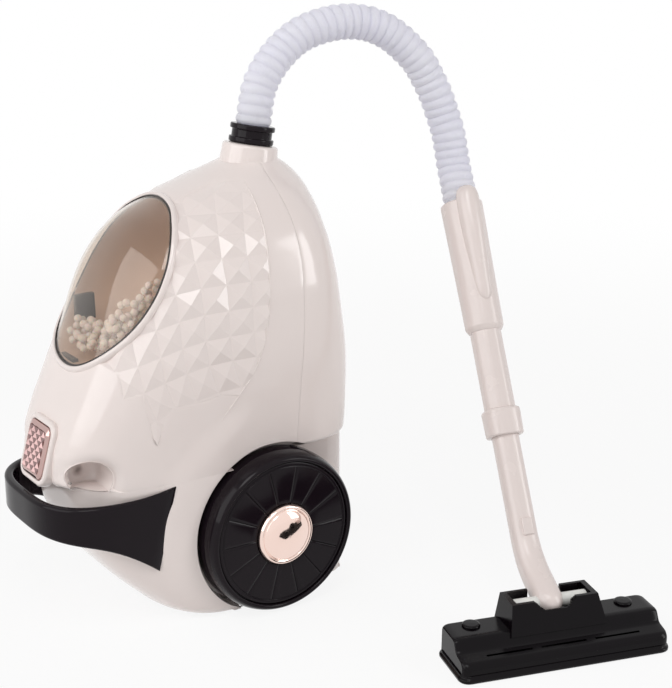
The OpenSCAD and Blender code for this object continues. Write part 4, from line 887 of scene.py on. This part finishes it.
def make_beads():
    """Beads packed in the chamber's lower part, up its left side."""
    random = np.random.default_rng(7)
    r, most, tries = 2.15, 300, 30000
    wall, low, heap, near, deep = 34, 143, 150, 4.0, 16
    closest = 1.86 * r
    places = []
    for _ in range(tries):
        if len(places) >= most:
            break
        p = np.array([random.uniform(-wall, wall), random.uniform(-88, -40), random.uniform(low, 190)])
        # space between the dome and the bowl
        if hypot(p[0], p[2] - WINDOW_Z) > wall:
            continue
        glass = float(front_y(np.array(p[0]), np.array(p[2]))) - 1.0
        if p[1] < glass + near:
            continue
        level = heap + 0.30 * max(0.0, p[0]) + 0.9 * max(0.0, p[0] - 12) + 3.0 * sin(0.4 * p[1])
        if p[2] > level + 6 or p[1] > glass + deep + 0.2 * (p[2] - low):
            continue
        if all(np.sum((p - q) ** 2) > closest ** 2 for q in places):
            places.append(p)
    shape, shape_faces = ball()
    verts, faces = [], []
    for p in places:
        base = len(shape) * len(verts)
        verts.append(p + r * random.uniform(0.9, 1.06) * shape)
        faces += [tuple(base + i for i in f) for f in shape_faces]
    add("bead_fill", np.concatenate(verts), faces, FOAM, "canister", "bead_foam", ["beads"])


make_dome()
make_chamber()
# dark clips that hold the chamber
box("chamber_tab", (-22.0, -71.5, 162.6), (1.4, 5.5, 7.0), *CLIPS)
box("chamber_bar", (-8.0, -89.0, 141.1), (11.0, 1.5, 1.7), *CLIPS)
make_beads()


# Hose, along its solid's route, smoothed
SPIN, LEAN, DROP = radians(73), radians(32), radians(24)
AHEAD = np.array([sin(SPIN), -cos(SPIN), 0])
ALONG = np.array([cos(SPIN), sin(SPIN), 0])
WAND_AXIS = np.array([0, 0, cos(LEAN)]) - sin(LEAN) * AHEAD
LEG_AXIS = cos(DROP) * AHEAD - [0, 0, sin(DROP)]
BEND_AT, LEG = 201, 28
GRIP_TOP = np.array([44, 130, 23 + BEND_AT * cos(LEAN) + LEG * sin(DROP)])
BEND = GRIP_TOP - BEND_AT * WAND_AXIS
PIN = BEND + LEG * LEG_AXIS
HOSE_START = NECK_FOOT + 22.1 * NECK_AXIS
HOSE_END = GRIP_TOP - 8 * WAND_AXIS
ROUTE = [
    (-1, 26, 273), (-1, 32, 283), (-1, 41, 292), (0, 51, 299), (2, 62, 303), (4, 73, 305), (6, 83, 305),
    (9, 93, 303), (12, 103, 298), (15, 111, 291), (18, 118, 283), (20, 123, 274), (23, 127, 264),
    (25, 130, 254), (28, 132, 244), (30, 133, 234), (33, 133, 224)]


def hose_line():
    after, before = HOSE_START + 9.7 * NECK_AXIS, HOSE_END + 19.4 * WAND_AXIS
    route = np.array([HOSE_START, after, *ROUTE, before, HOSE_END])
    dense = []
    for i in range(len(route) - 1):
        a, b = route[max(0, i - 1)], route[i]
        c, d = route[i + 1], route[min(len(route) - 1, i + 2)]
        for f in np.linspace(0, 1, 24, endpoint=False):
            dense.append(b + f * (c - a) / 2 + f * f * (2 * a - 5 * b + 4 * c - d) / 2
                         + f ** 3 * (3 * b - a - 3 * c + d) / 2)
    dense.append(route[-1])
    dense = np.array(dense)
    # smoothed between its two straight ends
    first, last, rounds = 30, -50, 60
    for _ in range(rounds):
        beside = dense[first - 1:last - 1] + 2 * dense[first:last] + dense[first + 1:last + 1]
        dense[first:last] = beside / 4
    s = np.concatenate([[0], np.cumsum(np.linalg.norm(np.diff(dense, axis=0), axis=1))])
    return dense, s


def make_hose():
    dense, s = hose_line()
    ribs, per, sides = 45, 9, 40
    valley, crest, bore = 8.45, 1.25, 7.4
    length = s[-1]
    at = np.linspace(0, length, ribs * per + 1)
    line = np.stack([np.interp(at, s, dense[:, k]) for k in range(3)], 1)
    heading = unit(np.gradient(line, axis=0))
    flat = unit(np.cross([0, 0, 1.0], HOSE_END - HOSE_START))
    u = unit(np.cross(np.tile(flat, (len(line), 1)), heading))
    v = np.cross(heading, u)
    radius = valley + crest * np.abs(np.sin(pi * ((at / length * ribs) % 1.0))) ** 0.75
    ring = around(circle(sides), u[:, None], v[:, None])
    outer = line[:, None] + radius[:, None, None] * ring
    inner = line[::-per, None] + bore * ring[::-per]
    verts = np.concatenate([outer.reshape(-1, 3), inner.reshape(-1, 3)])
    faces = ring_faces(len(outer) + len(inner), sides, closed_rows=True)
    hose = add("hose_ribbed", verts, faces, HOSE, "hose_and_grip", "hose_plastic", ["hose"])


make_hose()


# Neck and coupler
collar = fillet([(10.8, -3), (16.2, -3.4), (15.5, 3.0), (14.9, 11.6), (11.0, 12.0), (10.8, 5)],
                [0, 0.8, 3, 1.6, 0.5, 0], 6)
lathe("neck_collar_ring", collar, NECK_FOOT, NECK_AXIS, *SHELL, ["neck_collar"])
coupler = fillet([
    (7.6, -4.7), (11.2, -4.7), (11.9, -3.7), (10.5, -3.7), (10.5, 12.3), (12.1, 12.3), (12.1, 15.1),
    (10.9, 15.2), (10.9, 19.2), (12.1, 19.3), (12.1, 22.1), (7.6, 22.1)],
    [0, 0.2, 0.2, 0.2, 0.2, 0.9, 0.9, 0.4, 0.4, 0.9, 0.9, 0], 5)
lathe("hose_coupler_ring", coupler, NECK_FOOT, NECK_AXIS, BLACK, "hose_and_grip", "black_plastic",
      ["hose_coupler"])


# Handle
def make_handle():
    """A flat band bent around the nose, wide at its ends."""
    count, corners, bend, nudge = 121, 7, 0.63, 0.015
    wide, root, reach = 46.2, -66, 55.5
    thick, thinner, foot, brim, arch, flare = 5, 3, 59, 77, 69.0, 2.2
    turns = np.linspace(0, pi, count)

    def plan(t):
        c, s = np.cos(t), np.sin(t)
        return np.stack([wide * np.sign(c) * np.abs(c) ** bend, root - reach * np.abs(s) ** bend], -1)
    base = plan(turns)
    ahead = unit(plan(np.minimum(pi, turns + nudge)) - plan(np.maximum(0, turns - nudge)))
    end = np.abs(np.cos(turns)) ** 12
    half = (thick - thinner * end) / 2
    share = np.clip((base[:, 1] - root + reach) / reach, 0, 1)
    low = foot - 11 * share - 13.5 * share ** 3
    high = brim + 3.5 * share ** 4
    ease = np.minimum(half * 0.85, 1.9)
    rows = []
    for k, (sx, sz) in enumerate(((1, -1), (-1, -1), (-1, 1), (1, 1))):
        for a in np.linspace(0, pi / 2, corners) + k * pi / 2:
            off = sx * (half - ease) + cos(a) * ease
            z = (high - ease if sz > 0 else low + ease) - sin(a) * ease
            # the ends follow the wheel's arch
            edge = -root - np.sqrt(np.maximum(0, arch ** 2 - (z - AXLE_Z) ** 2))
            x = base[:, 0] + off * ahead[:, 1] + np.sign(base[:, 0]) * flare * end * smooth_step(50, 82, z)
            y = base[:, 1] - off * ahead[:, 0] + end * edge
            rows.append(np.stack([x, y, z], -1))
    rings = np.stack(rows, 1)
    weigh(skin("carry_handle", rings, BLACK, "canister", "black_plastic", ["handle"], lids=BOTH))


make_handle()


# Power button and its bezel
def plate(w, h, r, steps=8):
    out = []
    for cx, cy, a0 in ((1, 1, 0), (-1, 1, 90), (-1, -1, 180), (1, -1, 270)):
        for k in range(steps + 1):
            a = radians(a0 + 90 * k / steps)
            out.append((cx * (w / 2 - r) + r * cos(a), cy * (h / 2 - r) + r * sin(a)))
    return np.array(out)


def button_place(points, rise):
    """Points of the button's own plane, lifted along its direction."""
    return BUTTON_AT + points[:, :1] * RIGHT + points[:, 1:] * BUTTON_UP + rise * BUTTON_OUT


def button_stack(name, rows, *look):
    """Rounded plates stacked along the button's direction: width, height, radius and depth of each."""
    weigh(skin(name, [button_place(plate(w, h, r), d) for w, h, r, d in rows], *look, lids=LAST))


def make_bezel():
    w, h, r = 30.6, 34.6, 7
    rows = [(w, h, r, -4.3)]
    for a in np.linspace(0, pi / 2, 7):
        ease = 1 - cos(a)
        rows.append((w - 3.0 * ease, h - 3.0 * ease, r - 1.5 * ease, -0.6 + 1.7 * sin(a)))
    rows += [(25.4, 29.4, 4.6, 1.1), (24.6, 28.6, 4.3, 0.6), (24.6, 28.6, 4.3, -3.8)]
    button_stack("button_bezel_ring", rows, *SHELL, ["button_bezel"])


def make_button():
    w, h = 24.0, 28.0
    rows = [(w, h, 4.0, -1.4), (w, h, 4.0, 1.2), (w - 0.6, h - 0.6, 3.8, 1.6), (w - 4.2, h - 4.2, 2.6, 2.4),
            (w - 5.0, h - 5.0, 2.3, 2.4), (w - 5.4, h - 5.4, 2.1, 1.8)]
    # the frame takes a darker rose chrome, painted shade
    button_stack("power_button_frame", rows, SHADED_FRAME, "button", "rose_chrome", ["power_button"])
    # diamond-cut face
    across, up, foot, peak = 3, 4, 1.95, 2.95
    edge = np.array([w - 6.0, h - 6.0]) / 2
    cell = edge / [across, up]
    verts, faces = [], []
    for j in range(2 * up + 1):
        for i in range(across + 1):
            middle = cell * [2 * i + j % 2, j] - edge
            if middle[0] > edge[0] + 0.01:
                continue
            diamond = middle + cell * np.array([(1, 0), (0, 1), (-1, 0), (0, -1)])
            base = len(verts)
            verts += list(button_place(np.clip(diamond, -edge, edge), foot))
            verts += list(button_place(np.clip(middle, -edge, edge)[None], peak))
            for k in range(4):
                tri = (base + k, base + (k + 1) % 4, base + 4)
                p = [verts[t] for t in tri]
                if np.linalg.norm(np.cross(p[1] - p[0], p[2] - p[0])) > 1e-6:
                    faces.append(tri)
    # the face takes a darker rose chrome, painted shade
    add("power_button_face", verts, faces, SHADED_KNURL, "button", "rose_chrome", smooth=False)


def make_spring():
    """The button's coil, between the switch and the bezel's floor."""
    turns, sides, count = 5, 8, 121
    radius, length, depth, wire = 4.4, 8.0, 12.5, 0.5
    t = np.linspace(0, 1, count)
    coil = radius * around(2 * pi * turns * t, RIGHT, BUTTON_UP)
    centre = BUTTON_AT + coil + (length * t - depth)[:, None] * BUTTON_OUT
    heading = unit(np.gradient(centre, axis=0))
    across = unit(np.cross(heading, BUTTON_OUT))
    up = np.cross(across, heading)
    rings = centre[:, None] + wire * around(circle(sides), across[:, None], up[:, None])
    skin("button_spring_coil", rings, STEEL, "canister", "steel", ["button_spring"], lids=BOTH)


make_bezel()
make_button()
make_spring()


# Wheels
def make_wheel(side, body, name):
    disc, hub = name.replace("wheel", "wheel_disc"), name.replace("wheel", "hub_cap")
    inner_x, hub_x, disc_at = 43.0, 60.6, 16.0
    axis = (side, 0, 0)
    origin = np.array([side * inner_x, 0, AXLE_Z])
    tread = fillet([
        (8.2, 12), (8.2, 0), (39.1, 0), (43.7, 0.0), (45.5, 2.2), (45.5, 10.4), (44.8, 14.8), (43.6, 17.6),
        (42.5, 18.8), (41.3, 18.8), (40.6, 18.1), (40.6, 16.2), (3.05, 16.2)],
        [0, 0.3, 0.3, 0.8, 1.0, 2.5, 1.8, 1.2, 0.7, 0.5, 0.4, 0.2, 0], 5)
    lathe(name + "_tyre", tread, origin, axis, BLACK, body, "black_plastic", [name], sides=144)
    # disc with radial grooves
    grooves, between, outer, inner, depth = 14, 9, 0.011, 0.005, 0.6
    u, v, w = axes(axis)
    pitch = 2 * pi / grooves
    angles, sunk = [], []
    for k in range(grooves):
        angles += [pitch * k + a for a in (-outer, -inner, inner, outer)]
        angles += [pitch * k + outer + (pitch - 2 * outer) * q / between for q in range(1, between)]
        sunk += [0, depth, depth, 0] + [0] * (between - 1)
    ring, sunk = around(np.array(angles), u, v), np.array(sunk)
    grid = []
    for r, level, groove in ((40.2, 0.2, 0), (40.2, 1.1, 0), (39.8, 1.5, 0), (38.5, 1.55, 0), (38.2, 1.2, 0),
                             (37.8, 1.2, 0), (37.5, 1.6, 0), (37.4, 1.62, 1), (30, 1.75, 1), (23, 1.85, 1),
                             (17.6, 1.9, 1), (17.5, 1.2, 0), (15.0, 1.2, 0)):
        grid.append(origin + r * ring + (disc_at + level - groove * sunk)[:, None] * w)
    weigh(skin(disc + "_grooved", grid, BLACK, body, "black_plastic", [disc]))
    dome_r, dome_foot, dome_rise = 14.0, 2.3, 3.1
    dome = [(dome_r * sin(a), dome_foot + dome_rise * cos(a)) for a in np.linspace(radians(82), 0.06, 14)]
    cap = np.concatenate([fillet([(16.9, 0), (17.0, 1.5), (16.0, 3.0), (14.7, 2.8), (14.2, 2.2)],
                                 [0, 0.8, 1.0, 0.5, 0], 5), np.array(dome)])
    lathe(hub + "_dome", cap, (side * hub_x, 0, AXLE_Z), axis, ROSE, body, "rose_chrome", [hub])


make_wheel(1, "left_wheel", "wheel_left")
make_wheel(-1, "right_wheel", "wheel_right")


# Wand
WAND = np.stack([ALONG, np.cross(WAND_AXIS, ALONG), WAND_AXIS], 1)


def wand_place(p):
    return GRIP_TOP + np.asarray(p, float) @ WAND.T


def soft_polygon(sides, corner, steps):
    """A polygon with rounded corners and a flat side at the front."""
    turn = circle(sides) + pi / sides
    return fillet(np.stack([np.cos(turn), np.sin(turn)], 1), corner, steps, closed=True)


def wand_loft(name, rows, outline, replaces=()):
    """Outlines stacked along the wand: (height, scale)."""
    weigh(skin(name, [wand_place(at_height(outline * k, h)) for h, k in rows], *GRIP, replaces))


def make_wand():
    wand_loft("grip_body", [
        (-75, 9.0), (-74.6, 9.9), (-72.5, 11.1), (-71.8, 11.35), (-60, 11.5), (-30, 12.0), (-6, 12.5),
        (-1.2, 12.55), (-0.4, 12.4), (0, 12.0), (0, 10.6), (-0.4, 10.1), (-8, 9.9)],
        soft_polygon(8, 0.3, 5), ["grip"])
    # tongue along the front of the grip
    spine = [
        (7.2, 0.0, 9.8), (6.9, 1.8, 9.9), (6.2, 3.4, 10.0), (4.5, 4.9, 10.0), (1.5, 5.7, 9.8),
        (-4, 6.0, 9.6), (-14, 6.0, 9.4), (-26, 5.6, 8.9), (-38, 4.9, 8.3), (-46, 4.5, 8.0),
        (-51, 4.3, 7.9), (-55, 3.8, 8.0), (-57.4, 2.8, 8.2), (-58.6, 1.5, 8.7), (-59, 0.0, 9.2)]
    a = circle(21)
    verts = []
    for h, r, off in spine:
        ring = np.stack([1.12 * r * np.cos(a), r * np.sin(a) - off - 0.8], 1)
        verts.append(wand_place(at_height(ring, h)))
    skin("grip_tongue", verts, *GRIP)
    tube = [(-121, 8.3), (-120.5, 8.9), (-74, 8.95), (-50, 8.7)]
    wand_loft("upper_tube_flats", tube, soft_polygon(8, 0.22, 4), ["upper_tube"])
    square = soft_polygon(4, 0.62, 8) * 1.26
    wand_loft("wand_collar_ring", [
        (-133.6, 9.6), (-133.4, 10.4), (-132.6, 10.9), (-120.2, 11.2), (-119.2, 10.9), (-118.7, 10.2),
        (-118.6, 8.9)], square, ["wand_collar"])
    wand_loft("wand_collar_lip", [(-133.6, 9.6), (-133.6, 7.0), (-131, 7.0)], square)


def make_lower_tube():
    """A straight tube that bends into the floor head and ends in a round knuckle."""
    sides, straight, half_leg, knuckle, squareness = 40, 21, LEG / 2, 7.4, 2.5
    top, step, slim = 103, 4, 7.15
    points = [GRIP_TOP - (top + k * step) * WAND_AXIS for k in range(straight)]
    a, b = BEND + half_leg * WAND_AXIS, BEND + half_leg * LEG_AXIS
    for t in np.linspace(0, 1, 14):
        points.append((1 - t) ** 2 * a + 2 * t * (1 - t) * BEND + t * t * b)
    for k in range(1, 10):
        points.append(b + LEG_AXIS * half_leg * k / 9)
    points = np.array(points)
    heading = unit(np.gradient(points, axis=0))
    bent = len(points) - straight
    thicker = np.interp(np.arange(bent), [0, 8, 16, bent - 1], [slim, 7.5, 7.6, 7.45])
    radii = np.concatenate([np.full(straight, slim), thicker])
    turn = circle(sides)
    bulk = np.abs(np.cos(turn)) ** squareness + np.abs(np.sin(turn)) ** squareness
    square = 0.985 / bulk ** (1 / squareness)
    verts = [p + r * square[:, None] * around(turn, ALONG, np.cross(w, ALONG))
             for p, w, r in zip(points, heading, radii)]
    # round end
    last, w = points[-1], heading[-1]
    ring = around(turn, ALONG, np.cross(w, ALONG))
    for a in np.linspace(0.15, pi / 2 - 0.02, 9):
        verts.append(last + knuckle * (sin(a) * w + cos(a) * ring))
    skin("lower_tube_bent", verts, *TUBE, ["lower_tube"], lids=BOTH)
    pin = fillet([(0.3, -20.7), (3.7, -20.7), (3.7, 20.7), (0.3, 20.7)], 0.5, 4)
    lathe("cross_pin", pin, PIN, ALONG, WHITE, "wand_tube", "white_plastic", sides=40)


make_wand()
make_lower_tube()
latch = box("wand_latch", (0, 0, 0), (3.0, 1.6, 4.6), *TUBE, ease=0.7)
latch_at = Matrix.Translation(Vector(wand_place([0, -6.6, -183.6]) * MM))
latch.data.transform(latch_at @ Matrix(WAND.tolist()).to_4x4())


# Floor head
HEAD_AT = PIN * [1, 1, 0] + 9 * AHEAD + [0, 0, -2.0]


def head_place(p):
    p = np.asarray(p, float)
    return HEAD_AT + p[:, :1] * ALONG - p[:, 1:2] * AHEAD + p[:, 2:] * [0, 0, 1.0]


def prism(outline, x0, x1, name="cutter", flare=0.0):
    """A closed bar along the head's length, from an outline of (depth, height) points."""
    outline = np.asarray(outline, float)
    n = len(outline)
    wide = 1 + flare * (outline[:, 1].max() - outline[:, 1])
    verts = np.concatenate([np.column_stack([x * wide, outline]) for x in (x0, x1)])
    mesh = bpy.data.meshes.new(name)
    mesh.from_pydata((head_place(verts) * MM).tolist(), [], tube_faces(2, n))
    mesh.validate()
    work = bmesh.new()
    work.from_mesh(mesh)
    bmesh.ops.recalc_face_normals(work, faces=work.faces)
    work.to_mesh(mesh)
    work.free()
    return link(name, mesh)


def bar(y0, y1, z0, z1, half, middle=0):
    """A square prism, for cutting."""
    return prism([(y0, z0), (y1, z0), (y1, z1), (y0, z1)], middle - half, middle + half)


def carve(piece, cutters):
    """Takes the cutters out of a piece's mesh, then removes them."""
    for cutter in cutters:
        cut = piece.modifiers.new("cut", "BOOLEAN")
        cut.object = cutter
        cut.solver = "EXACT"
    shape = piece.evaluated_get(bpy.context.evaluated_depsgraph_get())
    mesh = bpy.data.meshes.new_from_object(shape)
    piece.modifiers.clear()
    piece.data = mesh
    for cutter in cutters:
        bpy.data.objects.remove(cutter)


def make_sole():
    rows = [(57.6, 17.0, 0.0, 5), (58.3, 17.8, 0.7, 5.5), (58.5, 18.0, 1.8, 6), (58.3, 17.8, 2.5, 6),
            (57.5, 17.0, 2.7, 5.5), (57.4, 16.9, 3.4, 5.5), (57.4, 16.9, 4.4, 5.5)]
    verts = [head_place(at_height(plate(2 * x, 2 * y, r), h)) for x, y, h, r in rows]
    weigh(skin("head_sole_plate", verts, *HEAD, ["head_sole"], lids=BOTH))


def make_deck():
    """The top shell, as cross sections along its length."""
    foot, above = 4.0, 40
    profile = fillet([
        (-16.6, foot), (-16.6, 8.2), (-14.6, 10.4), (-6.4, 12.0), (-3.0, 17.4), (-0.6, 18.0), (14.6, 18.0),
        (16.0, 16.6), (16.4, foot)], [0, 1.4, 1.2, 1.8, 1.6, 1.4, 1.5, 1.2, 0], 5)
    half, tip, taper = 52.4, 4.5, 0.16
    ends = [(half + tip * sin(a), 1 - taper * (1 - cos(a))) for a in np.linspace(0, pi / 2, 8)]
    rows = sorted([(-x, s) for x, s in ends] + ends)
    verts = []
    for x, s in rows:
        z = foot + (profile[:, 1] - foot) * (0.55 + 0.45 * s)
        verts.append(head_place(np.column_stack([np.full(len(profile), x), profile[:, 0] * s, z])))
    m = len(profile)
    faces = ring_faces(len(rows), m, closed_count=False)
    faces.append(list(range(m)))
    faces.append([(len(rows) - 1) * m + j for j in range(m)][::-1])
    deck = add("head_shell_top", np.concatenate(verts), faces, *HEAD, ["head_shell"])
    slots = [bar(-11.6, -10.3, 9.4, 16, 12.5, 30 * i) for i in (-1, 0, 1)]
    elbow_room = bar(-2.5, 16.8, 16.4, above, 9.2)
    carve(deck, slots + [elbow_room])
    weigh(deck)


def make_hinge_block():
    """The block with its trough and the gap for the elbow."""
    gap_r, above = 9.2, 40
    block = prism([(-5.4, 15.5), (1.0, 30.0), (17.0, 30.0), (17.0, 15.5)], -24, 24, "head_block", 0.008)
    trough = bar(2.9, 15.2, 20.4, above, 21)
    t = circle(48)
    gap = prism(np.stack([9 + gap_r * np.cos(t), 25 + gap_r * np.sin(t)], 1), -gap_r, gap_r)
    rear = bar(9, 30, 14, above, gap_r)
    dips = [bar(-8, 9, 25.6 + 0.62 * k, above, 6.6 + 0.8 * k) for k in range(7)]
    carve(block, [trough, gap, rear] + dips)
    soften(dress(block, *HEAD), 1.0, 4, 30)


make_sole()
make_deck()
make_hinge_block()
cap = fillet([(4.8, -0.6), (4.8, 0.9), (3.9, 1.4), (0.2, 1.5)], [0, 0.5, 0.5, 0], 5)
for side, name, replaces in ((-1, "head_cap_right", ()), (1, "head_cap_left", ["head_caps"])):
    lathe(name, cap, head_place([[side * 43.0, 9.0, 18.0]])[0], (0, 0, 1), *HEAD, replaces, sides=48)


# Solids that keep their shape take their finish here
FINISH = (
    (CREAM, "base wheel_wells motor_bracket battery_door screw_posts screw_tubes"),
    (STEEL, "axle axle_clips caster_pin motor cell_contacts door_screw shell_screws head_screws"),
    (BLACK, "switch caster_fork caster_roller"),
    # the grille takes the darker cream, painted shade of the chamber
    (SHADED_CREAM, "chamber_grille"),
    (WHITE, "fan"),
    (JACKET, "cells"))
for material, names in FINISH:
    for name in names.split():
        mesh = nodes[name].data
        mesh.materials.clear()
        mesh.materials.append(material)


# Studio
FLOOR_HALF, FLOOR_Z = 6.0, -0.00205


def white_rays(tree):
    """1 for the rays that see the white background: camera, transmission and glossy ones."""
    path = node(tree, "LightPath")
    seen = larger(tree, path["Is Camera Ray"], path["Is Transmission Ray"])
    return larger(tree, path["Is Glossy Ray"], seen)


def make_floor():
    material, tree, bsdf = surface("floor")
    tree.nodes.remove(bsdf)
    diffuse = node(tree, "BsdfDiffuse", {"Color": (0.9, 0.9, 0.9, 1)})["BSDF"]
    glow = node(tree, "Emission", {"Color": (1, 1, 1, 1)})["Emission"]
    # the shadow shows near the object, and the floor fades to white further out
    reach = node(tree, "VectorMath", {0: node(tree, "NewGeometry")["Position"]}, operation="LENGTH")["Value"]
    ends = {"From Min": 0.25, "From Max": 1.1, "To Min": 0.88, "To Max": 1.0}
    fade = node(tree, "MapRange", {"Value": reach, **ends}, interpolation_type="SMOOTHSTEP")["Result"]
    share = node(tree, "Math", {0: fade, 1: white_rays(tree)}, operation="MULTIPLY")["Value"]
    blend(tree, tree.nodes["Material Output"], share, diffuse, glow)
    mesh = bpy.data.meshes.new("floor")
    corners = [(x * FLOOR_HALF, y * FLOOR_HALF, FLOOR_Z) for x, y in ((-1, -1), (1, -1), (1, 1), (-1, 1))]
    mesh.from_pydata(corners, [], [(0, 1, 2, 3)])
    mesh.materials.append(material)
    link("floor", mesh)


def make_world():
    world = bpy.data.worlds.new("studio")
    bpy.context.scene.world = world
    world.use_nodes = True
    tree = world.node_tree
    tree.nodes.clear()
    light = node(tree, "Background", {"Color": (1, 0.985, 0.97, 1), "Strength": 0.33})["Background"]
    white = node(tree, "Background", {"Color": (1, 1, 1, 1), "Strength": 1.0})["Background"]
    blend(tree, tree.nodes.new("ShaderNodeOutputWorld"), white_rays(tree), light, white)


def softbox(name, place, target, width, height, watts):
    data = bpy.data.lights.new(name, "AREA")
    data.shape = "RECTANGLE"
    data.size = width
    data.size_y = height
    data.energy = watts
    lamp = link(name, data)
    lamp.location = place
    lamp.rotation_euler = (Vector(target) - Vector(place)).to_track_quat("-Z", "Y").to_euler()


make_floor()
make_world()
softbox("front", (0.0, -1.45, 0.95), (0.0, 0, 0.15), 1.7, 1.35, 14)
softbox("side", (1.15, 0.95, 0.5), (0.04, 0, 0.15), 0.4, 1.1, 6)
softbox("key", (0.9, -0.6, 1.7), (0.05, 0, 0.12), 0.7, 0.7, 7)

bpy.context.scene.view_settings.view_transform = "Standard"


def corners(box):
    return [[float(x) for x in corner] for corner in box]
